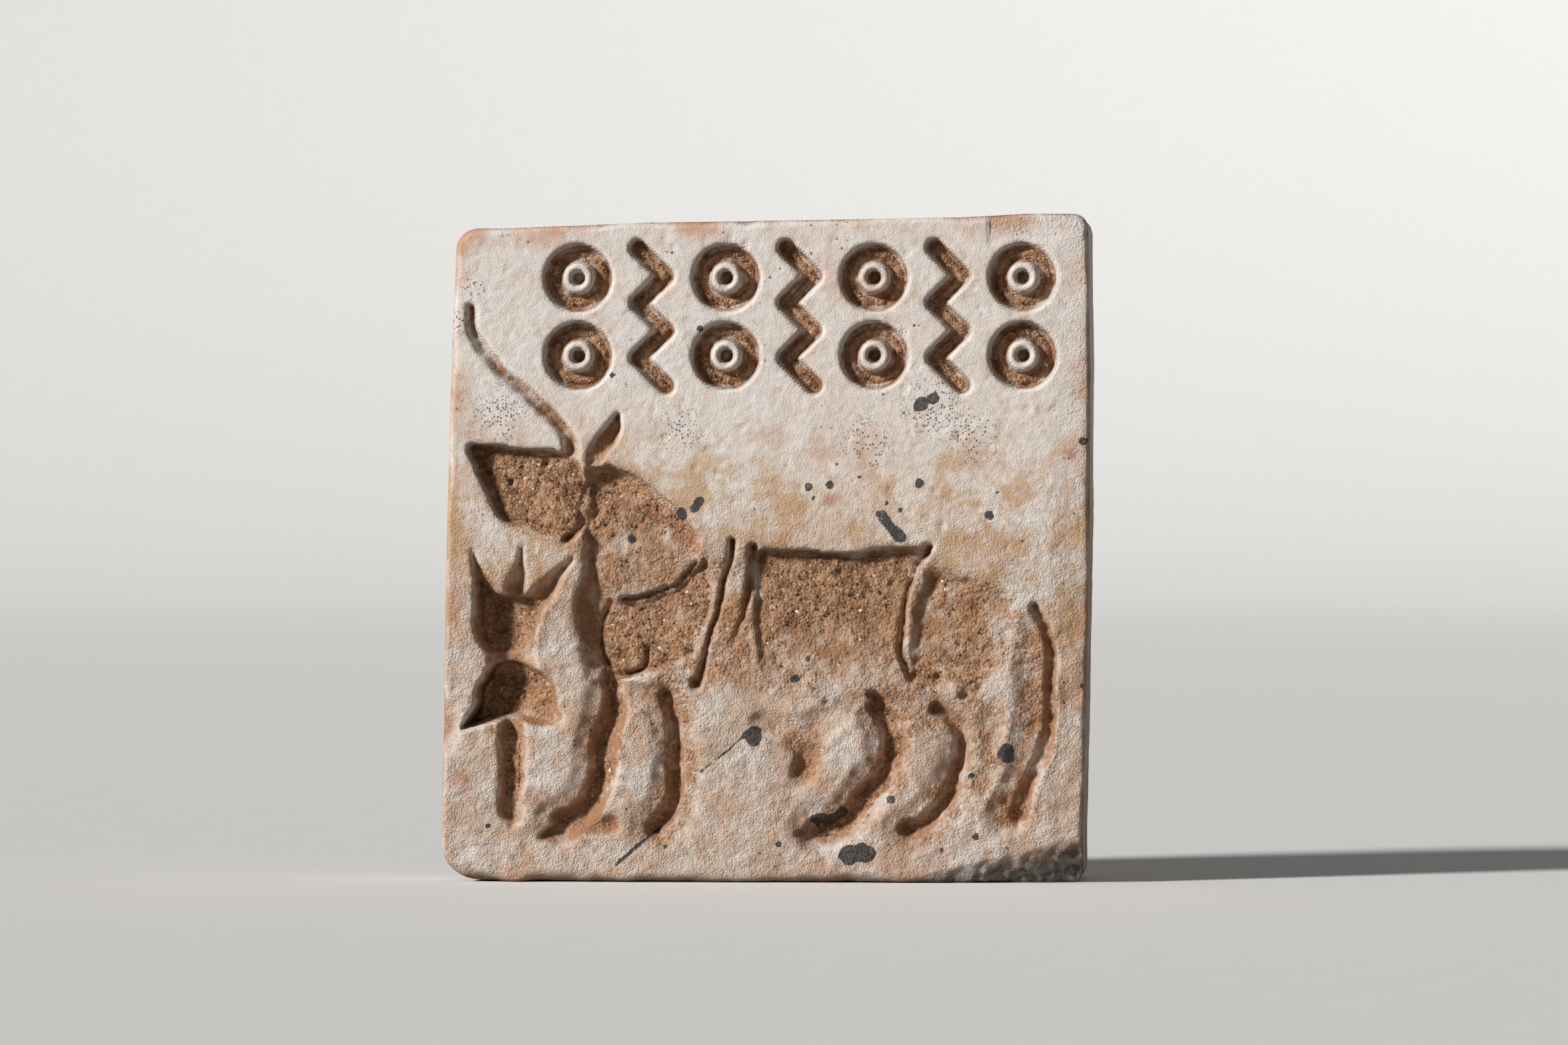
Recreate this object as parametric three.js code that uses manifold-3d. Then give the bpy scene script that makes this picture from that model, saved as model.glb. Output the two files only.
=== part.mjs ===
// A square stamp seal of fired white soapstone, standing on its lower side.
//
// The stone is one piece: a block with a carved face, and a boss on its back with a cord bore and a groove.
// The face carries a one-horned bull before an offering stand, cut in as hollows, under a frieze of rings and
// zigzags. Sandy soil from the ground lies in the bottoms of the hollows, one separate cake in each.
//
// Millimetres. +X is to the right as one looks at the carved face, which looks along -Y, and +Z is up.
// The origin is at the middle of the footprint, on the surface that the seal stands on.

import * as THREE from 'three';
import { mergeVertices } from 'three/addons/utils/BufferGeometryUtils.js';
import Module from 'manifold-3d';

const wasm = await Module();
wasm.setup();

// Block
const sealWidth = 35;
const sealHeight = 36;
const blockThickness = 9;
const edgeWear = 0.45;
const wornCornerLength = 9;
const wornCornerHeight = 2;
const wornCornerDepth = 1.4;

// Boss
const bossRadius = 7.6;
const bossHeight = 6.5;
const bossCrownRadius = 1.7;
const bossShoulderRadius = 5.4;
const bossShoulderHeight = 4;
const bossFootRadius = 0.8;
const boreRadius = 1.5;
const boreAboveBlock = 2.5;
const bossGrooveWidth = 1.5;
const bossGrooveDepth = 1.2;

// Carving: how deep each hollow is cut below the face
const hornDepth = 0.6;
const earDepth = 0.8;
const headDepth = 1.2;
const neckDepth = 1;
const chestDepth = 1.25;
const shoulderLineDepth = 0.5;
const bodyDepth = 1.4;
const haunchDepth = 1;
const outlineGrooveExtra = 0.25;
const legDepth = 1.1;
const tailDepth = 0.9;
const bowlDepth = 1.7;
const bowlHornDepth = 0.8;
const domeDepth = 1.9;
const stemDepth = 1;

// Frieze
const friezeDepth = 1;
const friezeLeftMargin = 7.4;
const friezeRightMargin = 3.6;
const friezeTopMargin = 3.4;
const friezeColumns = 7;
const ringRadius = 1.85;
const ringGroove = 1.05;
const ringDotRadius = 0.4;
const ringRowPitch = 4.2;
const zigzagSwing = 0.85;
const zigzagGroove = 1;
const zigzagSteps = 5;

// Soil
const soilClearance = 0.3;
const soilThickness = 0.35;

// Fineness of the curves
const curveStep = 0.6;
const ringSegments = 20;
const bossSegments = 36;
const boreSegments = 20;

const depthOfAll = blockThickness + bossHeight;
const faceY = -depthOfAll / 2;
const backY = faceY + blockThickness;
const crownY = depthOfAll / 2;
const faceCut = 1;

const stoneMaterial = new THREE.MeshStandardMaterial({ color: 0xdccfc0, roughness: 0.75, metalness: 0 });
const soilMaterial = new THREE.MeshStandardMaterial({ color: 0x967050, roughness: 0.95, metalness: 0 });

// The carver's drawing is laid out on a grid of 100 by 100 squares over the face, from its lower left corner.
const onFace = ([across, up]) => new THREE.Vector3((across / 100 - 0.5) * sealWidth, (up / 100) * sealHeight, 0);

// Outlines and lines of the drawing, in squares of that grid
const blockOutline = [
  [11, 0], [97, 0], [98.6, 0.8], [98.9, 8], [99.4, 30], [99.9, 52], [100, 76], [99.7, 96], [98.6, 99.2],
  [96.5, 99.9], [90, 100], [80, 99.5], [60, 99.2], [30, 98.8], [8, 98], [3.6, 97.6], [2.2, 96], [1.5, 80],
  [0.7, 50], [0.1, 20], [0, 6], [1, 3.6], [3.2, 1.6], [7, 0.4],
];
const headOutline = [
  [4.4, 65.2], [8, 65.9], [14, 65.2], [20.6, 64.2], [22.2, 60.5], [22, 56], [21.4, 53], [18.5, 51.9],
  [13, 53], [9, 54.2], [6.6, 59],
];
const neckOutline = [
  [21.8, 61.5], [25, 62.4], [29, 61.9], [33, 59.6], [37, 56], [40, 51.6], [39.4, 48], [37, 45], [33, 43.2],
  [28.8, 42.7], [25.6, 44.3], [23.2, 48], [21.6, 54],
];
const chestOutline = [
  [26.5, 43.6], [30.5, 43.6], [34.5, 44.6], [38, 46.8], [40.4, 48.6], [41.6, 46], [40.4, 41], [38.4, 37],
  [35, 34.6], [31.6, 33], [28, 31.4], [25.4, 32.6], [24.4, 36.5], [25, 41],
];
const bodyOutline = [
  [49.4, 49.6], [54, 49.8], [60, 49.4], [66, 50], [72, 50.2], [75, 49.6], [73.2, 46.6], [72, 43], [71.2, 39],
  [70.8, 35], [71.6, 31.5], [70, 28], [64, 26.6], [58, 26.4], [53, 28], [50, 32], [49, 38], [48.8, 44],
];
const haunchOutline = [
  [73.4, 47.6], [78, 46.8], [83, 45.4], [87.4, 44.4], [88.6, 40], [87, 35], [83.6, 31], [80, 28.5], [76, 27.6],
  [72.4, 28.6], [70.8, 31.5], [70.3, 35], [70.7, 39], [71.5, 43],
];
const earOutline = [
  [27, 70.4], [25.5, 69], [23.6, 66.8], [22.6, 64.8], [22.6, 62.6], [24.2, 62.8], [25.6, 64.6], [27.2, 66.4],
  [27.7, 68.3],
];
const bowlOutline = [
  [5.2, 45], [9, 43.6], [13.4, 43.6], [16, 42.6], [15, 39.5], [14.2, 36.4], [12.4, 34.8], [9.2, 34.4],
  [6.6, 35.6], [5, 39.4],
];
const domeOutline = [
  [10.5, 33.2], [13.6, 32.4], [16.2, 30.2], [18, 27.2], [19, 23.8], [16, 23.1], [12, 23.3], [7.5, 24],
  [3.4, 23.6], [4.6, 26.4], [5.6, 29.6], [7.6, 32.4],
];
const hornLine = [[4.7, 86], [5.5, 81.3], [10, 76], [15.4, 71.7], [18.8, 67.8], [20.5, 63.6]];
const curlLine = [[26.4, 43], [24.5, 39], [24.4, 35], [26.4, 31.8], [29.4, 31.5], [31.6, 33.4], [31, 36.6]];
const frontShoulderLine = [[45, 51], [43.6, 44.4], [41.8, 37], [39.7, 29.6]];
const rearShoulderLine = [[48, 50], [47.3, 44], [46.3, 38.8], [45.2, 35.4]];
const flankLine = [[75, 49.4], [73, 46.4], [71.6, 42], [70.8, 37], [71.2, 32]];
const leadingForelegLine = [[26, 32], [25.9, 27.5], [24.4, 19], [23, 13.6], [18.6, 9.6]];
const trailingForelegLine = [[35, 28.2], [36.2, 22], [36, 15], [34.6, 11], [32, 8.6]];
const leadingHindlegLine = [[70.8, 28.8], [69.9, 21.4], [67.6, 15.6], [63, 10.2], [58.6, 8.4]];
const trailingHindlegLine = [[78.4, 28.6], [79.8, 22.4], [78.8, 16], [76, 10.8], [71.6, 8.8]];
const tailLine = [[91.6, 41.5], [93.9, 34], [93.8, 26], [92, 18.5], [88.8, 10]];
const stemLine = [[10.3, 23.8], [10.3, 10.2]];
const leftBowlHorn = [[6.8, 43.5], [4, 50]];
const middleBowlHorn = [[11.6, 43], [12.4, 50.3]];
const rightBowlHorn = [[15, 42], [20, 48.6]];

// Each line's width where it starts and where it ends
const hornWidths = [0.6, 1];
const curlWidths = [0.45, 0.35];
const shoulderLineWidths = [0.4, 0.35];
const flankWidths = [0.45, 0.45];
const legWidths = [1.25, 1.3];
const tailWidths = [0.95, 1.35];
const stemWidths = [1.15, 1.2];
const bowlHornWidths = [1.1, 0.25];

// A closed mesh as a solid that can be joined and cut
function solid(geometry) {
  const bare = geometry.clone();
  bare.deleteAttribute('normal');
  bare.deleteAttribute('uv');
  const merged = mergeVertices(bare.index ? bare.toNonIndexed() : bare, 1e-5);
  const mesh = new wasm.Mesh({
    numProp: 3,
    vertProperties: Float32Array.from(merged.attributes.position.array),
    triVerts: Uint32Array.from(merged.index.array),
  });
  return new wasm.Manifold(mesh);
}

// A solid back as a mesh to draw
function geometryOf(manifold) {
  const { vertProperties, triVerts } = manifold.getMesh();
  const geometry = new THREE.BufferGeometry();
  geometry.setAttribute('position', new THREE.BufferAttribute(vertProperties, 3));
  geometry.setIndex(new THREE.BufferAttribute(triVerts, 1));
  geometry.computeVertexNormals();
  return geometry;
}

// Points along a smooth curve through the given ones, about one step apart
function smooth(points, closed) {
  const curve = new THREE.CatmullRomCurve3(points, closed);
  const count = Math.max(4, Math.round(curve.getLength() / curveStep));
  const sampled = curve.getSpacedPoints(count);
  if (closed) sampled.pop();
  return sampled;
}

// The outline of a groove that follows a line and grows from the first width to the second
function grooveOutline(line, [startWidth, endWidth], inset = 0) {
  const path = smooth(line.map(onFace), false);
  const left = [];
  const right = [];
  path.forEach((point, i) => {
    const before = path[Math.max(i - 1, 0)];
    const after = path[Math.min(i + 1, path.length - 1)];
    const along = after.clone().sub(before).normalize();
    const side = new THREE.Vector3(-along.y, along.x, 0);
    const half = THREE.MathUtils.lerp(startWidth, endWidth, i / (path.length - 1)) / 2 - inset;
    const shortened = point.clone();
    if (i === 0) shortened.addScaledVector(along, inset);
    if (i === path.length - 1) shortened.addScaledVector(along, -inset);
    left.push(shortened.clone().addScaledVector(side, half));
    right.unshift(shortened.clone().addScaledVector(side, -half));
  });
  return [...left, ...right];
}

// A closed outline drawn in by the same distance all round
function inset(outline, distance) {
  const area = THREE.ShapeUtils.area(outline);
  const turn = Math.sign(area);
  return outline.map((point, i) => {
    const before = outline[(i + outline.length - 1) % outline.length];
    const after = outline[(i + 1) % outline.length];
    const along = after.clone().sub(before).normalize();
    return point.clone().add(new THREE.Vector3(-along.y * turn * distance, along.x * turn * distance, 0));
  });
}

// A plate with the outline on the face, from one depth to another below the face
function plate(outline, topDepth, bottomDepth, holes = []) {
  const shape = new THREE.Shape(outline.map((p) => new THREE.Vector2(p.x, p.y)));
  shape.holes = holes.map((hole) => new THREE.Path(hole.map((p) => new THREE.Vector2(p.x, p.y))));
  const geometry = new THREE.ExtrudeGeometry(shape, { depth: bottomDepth - topDepth, bevelEnabled: false });
  geometry.rotateX(Math.PI / 2);
  geometry.translate(0, faceY + bottomDepth, 0);
  return geometry;
}

const circle = (centre, radius, segments = ringSegments) =>
  Array.from({ length: segments }, (_, i) => {
    const angle = (2 * Math.PI * i) / segments;
    return new THREE.Vector3(centre.x + radius * Math.cos(angle), centre.y + radius * Math.sin(angle), 0);
  });

// Hollows with a soil cake in their bottoms: name, outline, outline of the cake, and depth
function areaHollow(name, points, depth) {
  const outline = smooth(points.map(onFace), true);
  return { name, depth, outline, cake: inset(outline, soilClearance) };
}

function grooveHollow(name, line, widths, depth) {
  return {
    name,
    depth,
    outline: grooveOutline(line, widths),
    cake: grooveOutline(line, widths, soilClearance),
  };
}

const figureHollows = [
  areaHollow('head', headOutline, headDepth),
  areaHollow('neck', neckOutline, neckDepth),
  areaHollow('chest', chestOutline, chestDepth),
  areaHollow('body', bodyOutline, bodyDepth),
  areaHollow('haunch', haunchOutline, haunchDepth),
  grooveHollow('leading_foreleg', leadingForelegLine, legWidths, legDepth),
  grooveHollow('trailing_foreleg', trailingForelegLine, legWidths, legDepth),
  grooveHollow('leading_hindleg', leadingHindlegLine, legWidths, legDepth),
  grooveHollow('trailing_hindleg', trailingHindlegLine, legWidths, legDepth),
  grooveHollow('tail', tailLine, tailWidths, tailDepth),
  areaHollow('stand_bowl', bowlOutline, bowlDepth),
  areaHollow('stand_dome', domeOutline, domeDepth),
  grooveHollow('stand_stem', stemLine, stemWidths, stemDepth),
];

// Clean cuts, too narrow to hold a cake of soil
const cleanCuts = [
  { outline: grooveOutline(hornLine, hornWidths), depth: hornDepth },
  { outline: smooth(earOutline.map(onFace), true), depth: earDepth },
  { outline: grooveOutline(curlLine, curlWidths), depth: chestDepth + outlineGrooveExtra },
  { outline: grooveOutline(frontShoulderLine, shoulderLineWidths), depth: shoulderLineDepth },
  { outline: grooveOutline(rearShoulderLine, shoulderLineWidths), depth: shoulderLineDepth },
  { outline: grooveOutline(flankLine, flankWidths), depth: bodyDepth + outlineGrooveExtra },
  { outline: grooveOutline(leftBowlHorn, bowlHornWidths), depth: bowlHornDepth },
  { outline: grooveOutline(middleBowlHorn, bowlHornWidths), depth: bowlHornDepth },
  { outline: grooveOutline(rightBowlHorn, bowlHornWidths), depth: bowlHornDepth },
];

// The frieze: columns of two dotted rings, with a zigzag between one column and the next
const friezeHollows = [];
const friezeLeft = -sealWidth / 2 + friezeLeftMargin;
const friezeRight = sealWidth / 2 - friezeRightMargin;
const upperRowZ = sealHeight - friezeTopMargin;
for (let column = 0; column < friezeColumns; column += 1) {
  const x = THREE.MathUtils.lerp(friezeLeft, friezeRight, column / (friezeColumns - 1));
  if (column % 2 === 0) {
    for (const [row, z] of [['upper', upperRowZ], ['lower', upperRowZ - ringRowPitch]]) {
      const centre = new THREE.Vector3(x, z, 0);
      friezeHollows.push({
        name: `ring_${column / 2 + 1}_${row}`,
        depth: friezeDepth,
        outline: circle(centre, ringRadius),
        hole: circle(centre, ringRadius - ringGroove),
        cake: circle(centre, ringRadius - soilClearance),
        cakeHole: circle(centre, ringRadius - ringGroove + soilClearance),
      });
      cleanCuts.push({ outline: circle(centre, ringDotRadius), depth: friezeDepth });
    }
  } else {
    const top = upperRowZ + ringRadius;
    const bottom = upperRowZ - ringRowPitch - ringRadius;
    const turns = Array.from({ length: zigzagSteps + 1 }, (_, i) => {
      const side = i % 2 === 0 ? -1 : 1;
      return new THREE.Vector3(x + side * zigzagSwing, THREE.MathUtils.lerp(top, bottom, i / zigzagSteps), 0);
    });
    friezeHollows.push({
      name: `zigzag_${(column + 1) / 2}`,
      depth: friezeDepth,
      outline: zigzagOutline(turns, zigzagGroove / 2),
      cake: zigzagOutline(turns, zigzagGroove / 2 - soilClearance),
    });
  }
}

// A band of even width along straight stretches, mitred where it turns
function zigzagOutline(turns, half) {
  const side = (from, to) => {
    const along = to.clone().sub(from).normalize();
    return new THREE.Vector3(-along.y, along.x, 0);
  };
  const left = [];
  const right = [];
  turns.forEach((point, i) => {
    const before = i > 0 ? side(turns[i - 1], point) : null;
    const after = i < turns.length - 1 ? side(point, turns[i + 1]) : null;
    const mitre = (before ?? after).clone().add(after ?? before).normalize();
    const reach = half / mitre.dot(before ?? after);
    const end = before === null ? 1 : after === null ? -1 : 0;
    const along = new THREE.Vector3((before ?? after).y, -(before ?? after).x, 0);
    const base = point.clone().addScaledVector(along, end * (zigzagGroove / 2 - half));
    left.push(base.clone().addScaledVector(mitre, reach));
    right.unshift(base.clone().addScaledVector(mitre, -reach));
  });
  return [...left, ...right];
}

// The block, with its edges worn round
function block() {
  const shape = new THREE.Shape(blockOutline.map(onFace).map((p) => new THREE.Vector2(p.x, p.y)));
  const geometry = new THREE.ExtrudeGeometry(shape, {
    depth: blockThickness - 2 * edgeWear,
    bevelThickness: edgeWear,
    bevelSize: edgeWear,
    bevelOffset: -edgeWear,
    bevelSegments: 2,
  });
  geometry.rotateX(Math.PI / 2);
  geometry.translate(0, backY - edgeWear, 0);
  return solid(geometry);
}

// What is rubbed off the right-hand corner, where the face meets the lower side: all beyond a slanting plane
function wornCorner() {
  const right = sealWidth / 2;
  const alongEdge = new THREE.Vector3(right - wornCornerLength, faceY, 0);
  const upFace = new THREE.Vector3(right, faceY, wornCornerHeight);
  const underneath = new THREE.Vector3(right, faceY + wornCornerDepth, 0);
  const { normal } = new THREE.Plane().setFromCoplanarPoints(underneath, upFace, alongEdge);
  const size = 2 * sealWidth;
  const geometry = new THREE.BoxGeometry(size, size, size);
  geometry.applyQuaternion(new THREE.Quaternion().setFromUnitVectors(new THREE.Vector3(0, 0, 1), normal));
  const centre = upFace.addScaledVector(normal, size / 2);
  geometry.translate(centre.x, centre.y, centre.z);
  return solid(geometry);
}

// The boss: a round knob with a hollow foot curve, a domed side and a slightly flat crown
function boss() {
  const profile = new THREE.Path();
  profile.moveTo(0, -faceCut);
  profile.lineTo(bossRadius + bossFootRadius, -faceCut);
  profile.lineTo(bossRadius + bossFootRadius, 0);
  profile.quadraticCurveTo(bossRadius, 0, bossRadius, bossFootRadius);
  profile.bezierCurveTo(
    bossRadius, bossShoulderHeight, bossShoulderRadius, bossHeight, bossCrownRadius, bossHeight,
  );
  profile.lineTo(0, bossHeight);
  const geometry = new THREE.LatheGeometry(profile.getPoints(6), bossSegments);
  geometry.translate(0, backY, sealHeight / 2);
  return solid(geometry);
}

// The cord bore, from side to side through the boss
function bore() {
  const geometry = new THREE.CylinderGeometry(boreRadius, boreRadius, sealWidth, boreSegments);
  geometry.rotateZ(Math.PI / 2);
  geometry.translate(0, backY + boreAboveBlock, sealHeight / 2);
  return solid(geometry);
}

// The groove over the crown, along the bore
function bossGroove() {
  const geometry = new THREE.BoxGeometry(sealWidth, 2 * bossGrooveDepth, bossGrooveWidth);
  geometry.translate(0, crownY, sealHeight / 2);
  return solid(geometry);
}

function stone() {
  let body = block().subtract(wornCorner()).add(boss()).subtract(bore()).subtract(bossGroove());
  for (const { outline, hole, depth } of [...figureHollows, ...friezeHollows, ...cleanCuts]) {
    body = body.subtract(solid(plate(outline, -faceCut, depth, hole ? [hole] : [])));
  }
  return geometryOf(body);
}

const seal = new THREE.Group();

function place(name, geometry, material) {
  const mesh = new THREE.Mesh(geometry, material);
  mesh.name = name;
  seal.add(mesh);
}

place('stone', stone(), stoneMaterial);
for (const { name, depth, cake, cakeHole } of [...figureHollows, ...friezeHollows]) {
  const geometry = plate(cake, depth - soilThickness, depth, cakeHole ? [cakeHole] : []);
  place(`soil_in_${name}`, geometry, soilMaterial);
}

export default seal;
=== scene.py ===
# %% [markdown]
# A square stamp seal of fired white soapstone, standing on its lower side. A one-horned bull and an offering
# stand are cut into its face under a frieze of rings and zigzags, and sandy soil lies in the cuts.
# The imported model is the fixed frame: every piece below is made to lie where its nodes lie.

# %% Load the frame and note its box
import math
from functools import partial

import bmesh
import bpy
import numpy as np
from mathutils import Matrix, Vector, noise


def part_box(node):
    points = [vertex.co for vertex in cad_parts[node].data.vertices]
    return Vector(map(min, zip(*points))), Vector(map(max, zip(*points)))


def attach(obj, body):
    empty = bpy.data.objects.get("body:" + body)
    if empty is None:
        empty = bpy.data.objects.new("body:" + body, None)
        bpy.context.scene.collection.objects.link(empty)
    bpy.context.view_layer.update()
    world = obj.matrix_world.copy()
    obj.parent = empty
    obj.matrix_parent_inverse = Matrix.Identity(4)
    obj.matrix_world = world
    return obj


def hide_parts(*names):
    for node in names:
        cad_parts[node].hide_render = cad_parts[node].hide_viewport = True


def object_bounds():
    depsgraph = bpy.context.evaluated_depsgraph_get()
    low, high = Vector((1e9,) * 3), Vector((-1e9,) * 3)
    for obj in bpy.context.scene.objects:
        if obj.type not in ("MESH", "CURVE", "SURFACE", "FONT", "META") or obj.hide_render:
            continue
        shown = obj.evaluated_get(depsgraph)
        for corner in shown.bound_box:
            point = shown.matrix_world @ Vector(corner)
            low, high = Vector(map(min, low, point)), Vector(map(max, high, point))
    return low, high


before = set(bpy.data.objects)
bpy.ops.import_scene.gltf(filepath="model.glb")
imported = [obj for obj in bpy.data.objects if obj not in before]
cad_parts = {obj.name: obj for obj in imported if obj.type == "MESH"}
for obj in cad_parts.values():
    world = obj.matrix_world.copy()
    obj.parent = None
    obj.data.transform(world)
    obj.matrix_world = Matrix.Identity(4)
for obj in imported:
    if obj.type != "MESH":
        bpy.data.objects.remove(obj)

cad_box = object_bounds()
print("box of the solids:", cad_box)

# %% [markdown]
# The camera comes first. The seal was photographed with a long lens from the front, a little to its right,
# so that a thin strip of its right side shows. From almost half a metre the square face stays square.

# %% Camera
MM = 0.001
SEAL_WIDTH = 35.0
SEAL_HEIGHT = 36.0
BLOCK_THICKNESS = 9.0
FACE_Y = cad_box[0][1] / MM
BACK_Y = FACE_Y + BLOCK_THICKNESS
CAMERA_DISTANCE = 450.0
CAMERA_TURN = math.radians(4.0)
AIM = Vector((0.5, 0.0, 19.4))
SENSOR_WIDTH = 36.0
VIEW_WIDTH = 84.4

camera_data = bpy.data.cameras.new("camera")
camera_data.sensor_width = SENSOR_WIDTH
camera_data.lens = SENSOR_WIDTH * (CAMERA_DISTANCE + FACE_Y) / VIEW_WIDTH
camera = bpy.data.objects.new("camera", camera_data)
bpy.context.scene.collection.objects.link(camera)
outward = Vector((math.sin(CAMERA_TURN), -math.cos(CAMERA_TURN), 0.0))
camera.location = (AIM + outward * CAMERA_DISTANCE) * MM
camera.rotation_euler = (-outward).to_track_quat("-Z", "Y").to_euler()
bpy.context.scene.camera = camera
bpy.context.scene.view_settings.view_transform = "Standard"
print("lens:", round(camera_data.lens, 1), "mm")

# %% [markdown]
# The floor is a wide pale dish whose rim turns up all round, like the paper sweep in a photo studio. A flat
# plane would end in a hard line at the height of the lens. The turned-up rim has no such line from any side.
# It is one profile spun round the upright axis.

# %% Floor and backdrop
FLOOR_RADIUS = 1.1
SWEEP_RADIUS = 0.5
SWEEP_STEPS = 12
SPIN_STEPS = 64
WELD_DISTANCE = 1e-7


def shade_smooth(mesh):
    mesh.polygons.foreach_set("use_smooth", [True] * len(mesh.polygons))


def make_object(bm, name):
    """Turns a finished bmesh into an object that sits at the origin."""
    mesh = bpy.data.meshes.new(name)
    bm.to_mesh(mesh)
    bm.free()
    shade_smooth(mesh)
    piece = bpy.data.objects.new(name, mesh)
    bpy.context.scene.collection.objects.link(piece)
    return piece


def spin_profile(bm, points, axis, centre, steps):
    """Spins a line of points a full turn and welds it where it meets itself."""
    verts = [bm.verts.new(point) for point in points]
    edges = [bm.edges.new(pair) for pair in zip(verts, verts[1:])]
    bmesh.ops.spin(bm, geom=verts + edges, cent=centre, axis=axis, angle=math.tau, steps=steps,
                   use_merge=True)
    bmesh.ops.remove_doubles(bm, verts=bm.verts, dist=WELD_DISTANCE)
    bmesh.ops.recalc_face_normals(bm, faces=bm.faces)


def make_floor():
    profile = [Vector((0, 0, 0)), Vector((FLOOR_RADIUS, 0, 0))]
    for step in range(1, SWEEP_STEPS + 1):
        angle = math.pi / 2 * step / SWEEP_STEPS
        rise = SWEEP_RADIUS * (1 - math.cos(angle))
        profile.append(Vector((FLOOR_RADIUS + SWEEP_RADIUS * math.sin(angle), 0, rise)))
    bm = bmesh.new()
    spin_profile(bm, profile, (0, 0, 1), (0, 0, 0), SPIN_STEPS)
    floor = make_object(bm, "floor")
    return floor


floor = make_floor()
print("floor radius:", FLOOR_RADIUS, "m")

# %% [markdown]
# The picture is laid out on a grid of 100 by 100 squares over the face, as a carver might mark it out.
# Every outline below is in those squares, from the lower left corner. A soft curve is drawn through the few
# points that each shape needs.

# %% The drawing grid and soft curves
CURVE_STEPS = 5


def on_face(point):
    """A point of the drawing as millimetres across and up the face."""
    across, up = point
    return np.array(((across / 100 - 0.5) * SEAL_WIDTH, up / 100 * SEAL_HEIGHT))


def soft_curve(points, closed):
    """Points along a smooth curve through the drawn points."""
    drawn = [on_face(point) for point in points]
    if closed:
        padded = [drawn[-1], *drawn, drawn[0], drawn[1]]
    else:
        padded = [2 * drawn[0] - drawn[1], *drawn, 2 * drawn[-1] - drawn[-2]]
    curve = []
    for before, start, end, after in zip(padded, padded[1:], padded[2:], padded[3:]):
        for step in range(CURVE_STEPS):
            t = step / CURVE_STEPS
            leave = (end - before) / 2
            arrive = (after - start) / 2
            bend = 2 * start - 2 * end + leave + arrive
            swing = -3 * start + 3 * end - 2 * leave - arrive
            curve.append(bend * t**3 + swing * t**2 + leave * t + start)
    if not closed:
        curve.append(drawn[-1])
    return np.array(curve)


# %% [markdown]
# A carved face could be cut with hundreds of booleans, but worn stone has no clean cuts. Here the depth of
# the carving is worked out at every point of a fine net over the face, as a sculptor's depth map, and the
# mesh is then pressed in by that much. Each hollow only needs its distance to a line or an outline.

# %% The depth net over the face
NET_PITCH = 0.07
NET_COLUMNS = round(SEAL_WIDTH / NET_PITCH) + 1
NET_ROWS = round(SEAL_HEIGHT / NET_PITCH) + 1
WHOLE_NET = (slice(None), slice(None))
TINY = 1e-12

net_x, net_z = np.meshgrid(
    np.linspace(-SEAL_WIDTH / 2, SEAL_WIDTH / 2, NET_COLUMNS),
    np.linspace(0, SEAL_HEIGHT, NET_ROWS),
)
carving = np.zeros_like(net_x)


def ease(t):
    """Turns an even rise from 0 to 1 into one that starts and ends softly."""
    t = np.clip(t, 0, 1)
    return t * t * (3 - 2 * t)


def read_between(field, column, row, shape=np.asarray):
    """Reads a grid of values at places between its points."""
    c, r = column.astype(int), row.astype(int)
    tc, tr = shape(column - c), shape(row - r)
    lower = field[r, c] * (1 - tc) + field[r, c + 1] * tc
    upper = field[r + 1, c] * (1 - tc) + field[r + 1, c + 1] * tc
    return lower * (1 - tr) + upper * tr


def clouds(size, seed):
    """Soft random patches of about one size over the face, from -1 to 1."""
    rng = np.random.default_rng(seed)
    rows = int(SEAL_HEIGHT / size) + 3
    columns = int(SEAL_WIDTH / size) + 3
    coarse = rng.uniform(-1, 1, (rows, columns))
    return read_between(coarse, (net_x + SEAL_WIDTH / 2) / size, net_z / size, ease)


def rough(size, seed):
    """Patches within patches: three sizes of clouds, each half as strong as the one before."""
    return (clouds(size, seed) + clouds(size / 2, seed + 1) / 2 + clouds(size / 4, seed + 2) / 4) / 1.75


print("net:", NET_COLUMNS, "by", NET_ROWS, "points")

# %% [markdown]
# Two tools do most of the cutting. A hollow is an outline with a wall and a floor that slopes from a deep
# place to a shallow one. A groove is a line with a reach to either hand. Both are drawn with a slightly
# unsteady hand, and where two cuts meet the deeper one counts. A named cut also remembers where its inside
# is, for the soil.

# %% Hollows and grooves
REACH = 1.8
FAR_OUTSIDE = -9.0
WALL_STEEPNESS = 2.5
FLOOR_RUN = (-0.15, 1.2)
HAND_WANDER = 0.2
HAND_WANDER_SIZE = 1.5

drawn_x = net_x + HAND_WANDER * rough(HAND_WANDER_SIZE, 101)
drawn_z = net_z + HAND_WANDER * rough(HAND_WANDER_SIZE, 107)
inside_of = {}
coat_of = {}


def window_round(line):
    """The part of the net that lies within reach of a line."""
    low = np.maximum(line.min(axis=0) - REACH + (SEAL_WIDTH / 2, 0), 0) / NET_PITCH
    high = (line.max(axis=0) + REACH + (SEAL_WIDTH / 2, 0)) / NET_PITCH
    return slice(int(low[1]), int(high[1]) + 2), slice(int(low[0]), int(high[0]) + 2)


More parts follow.
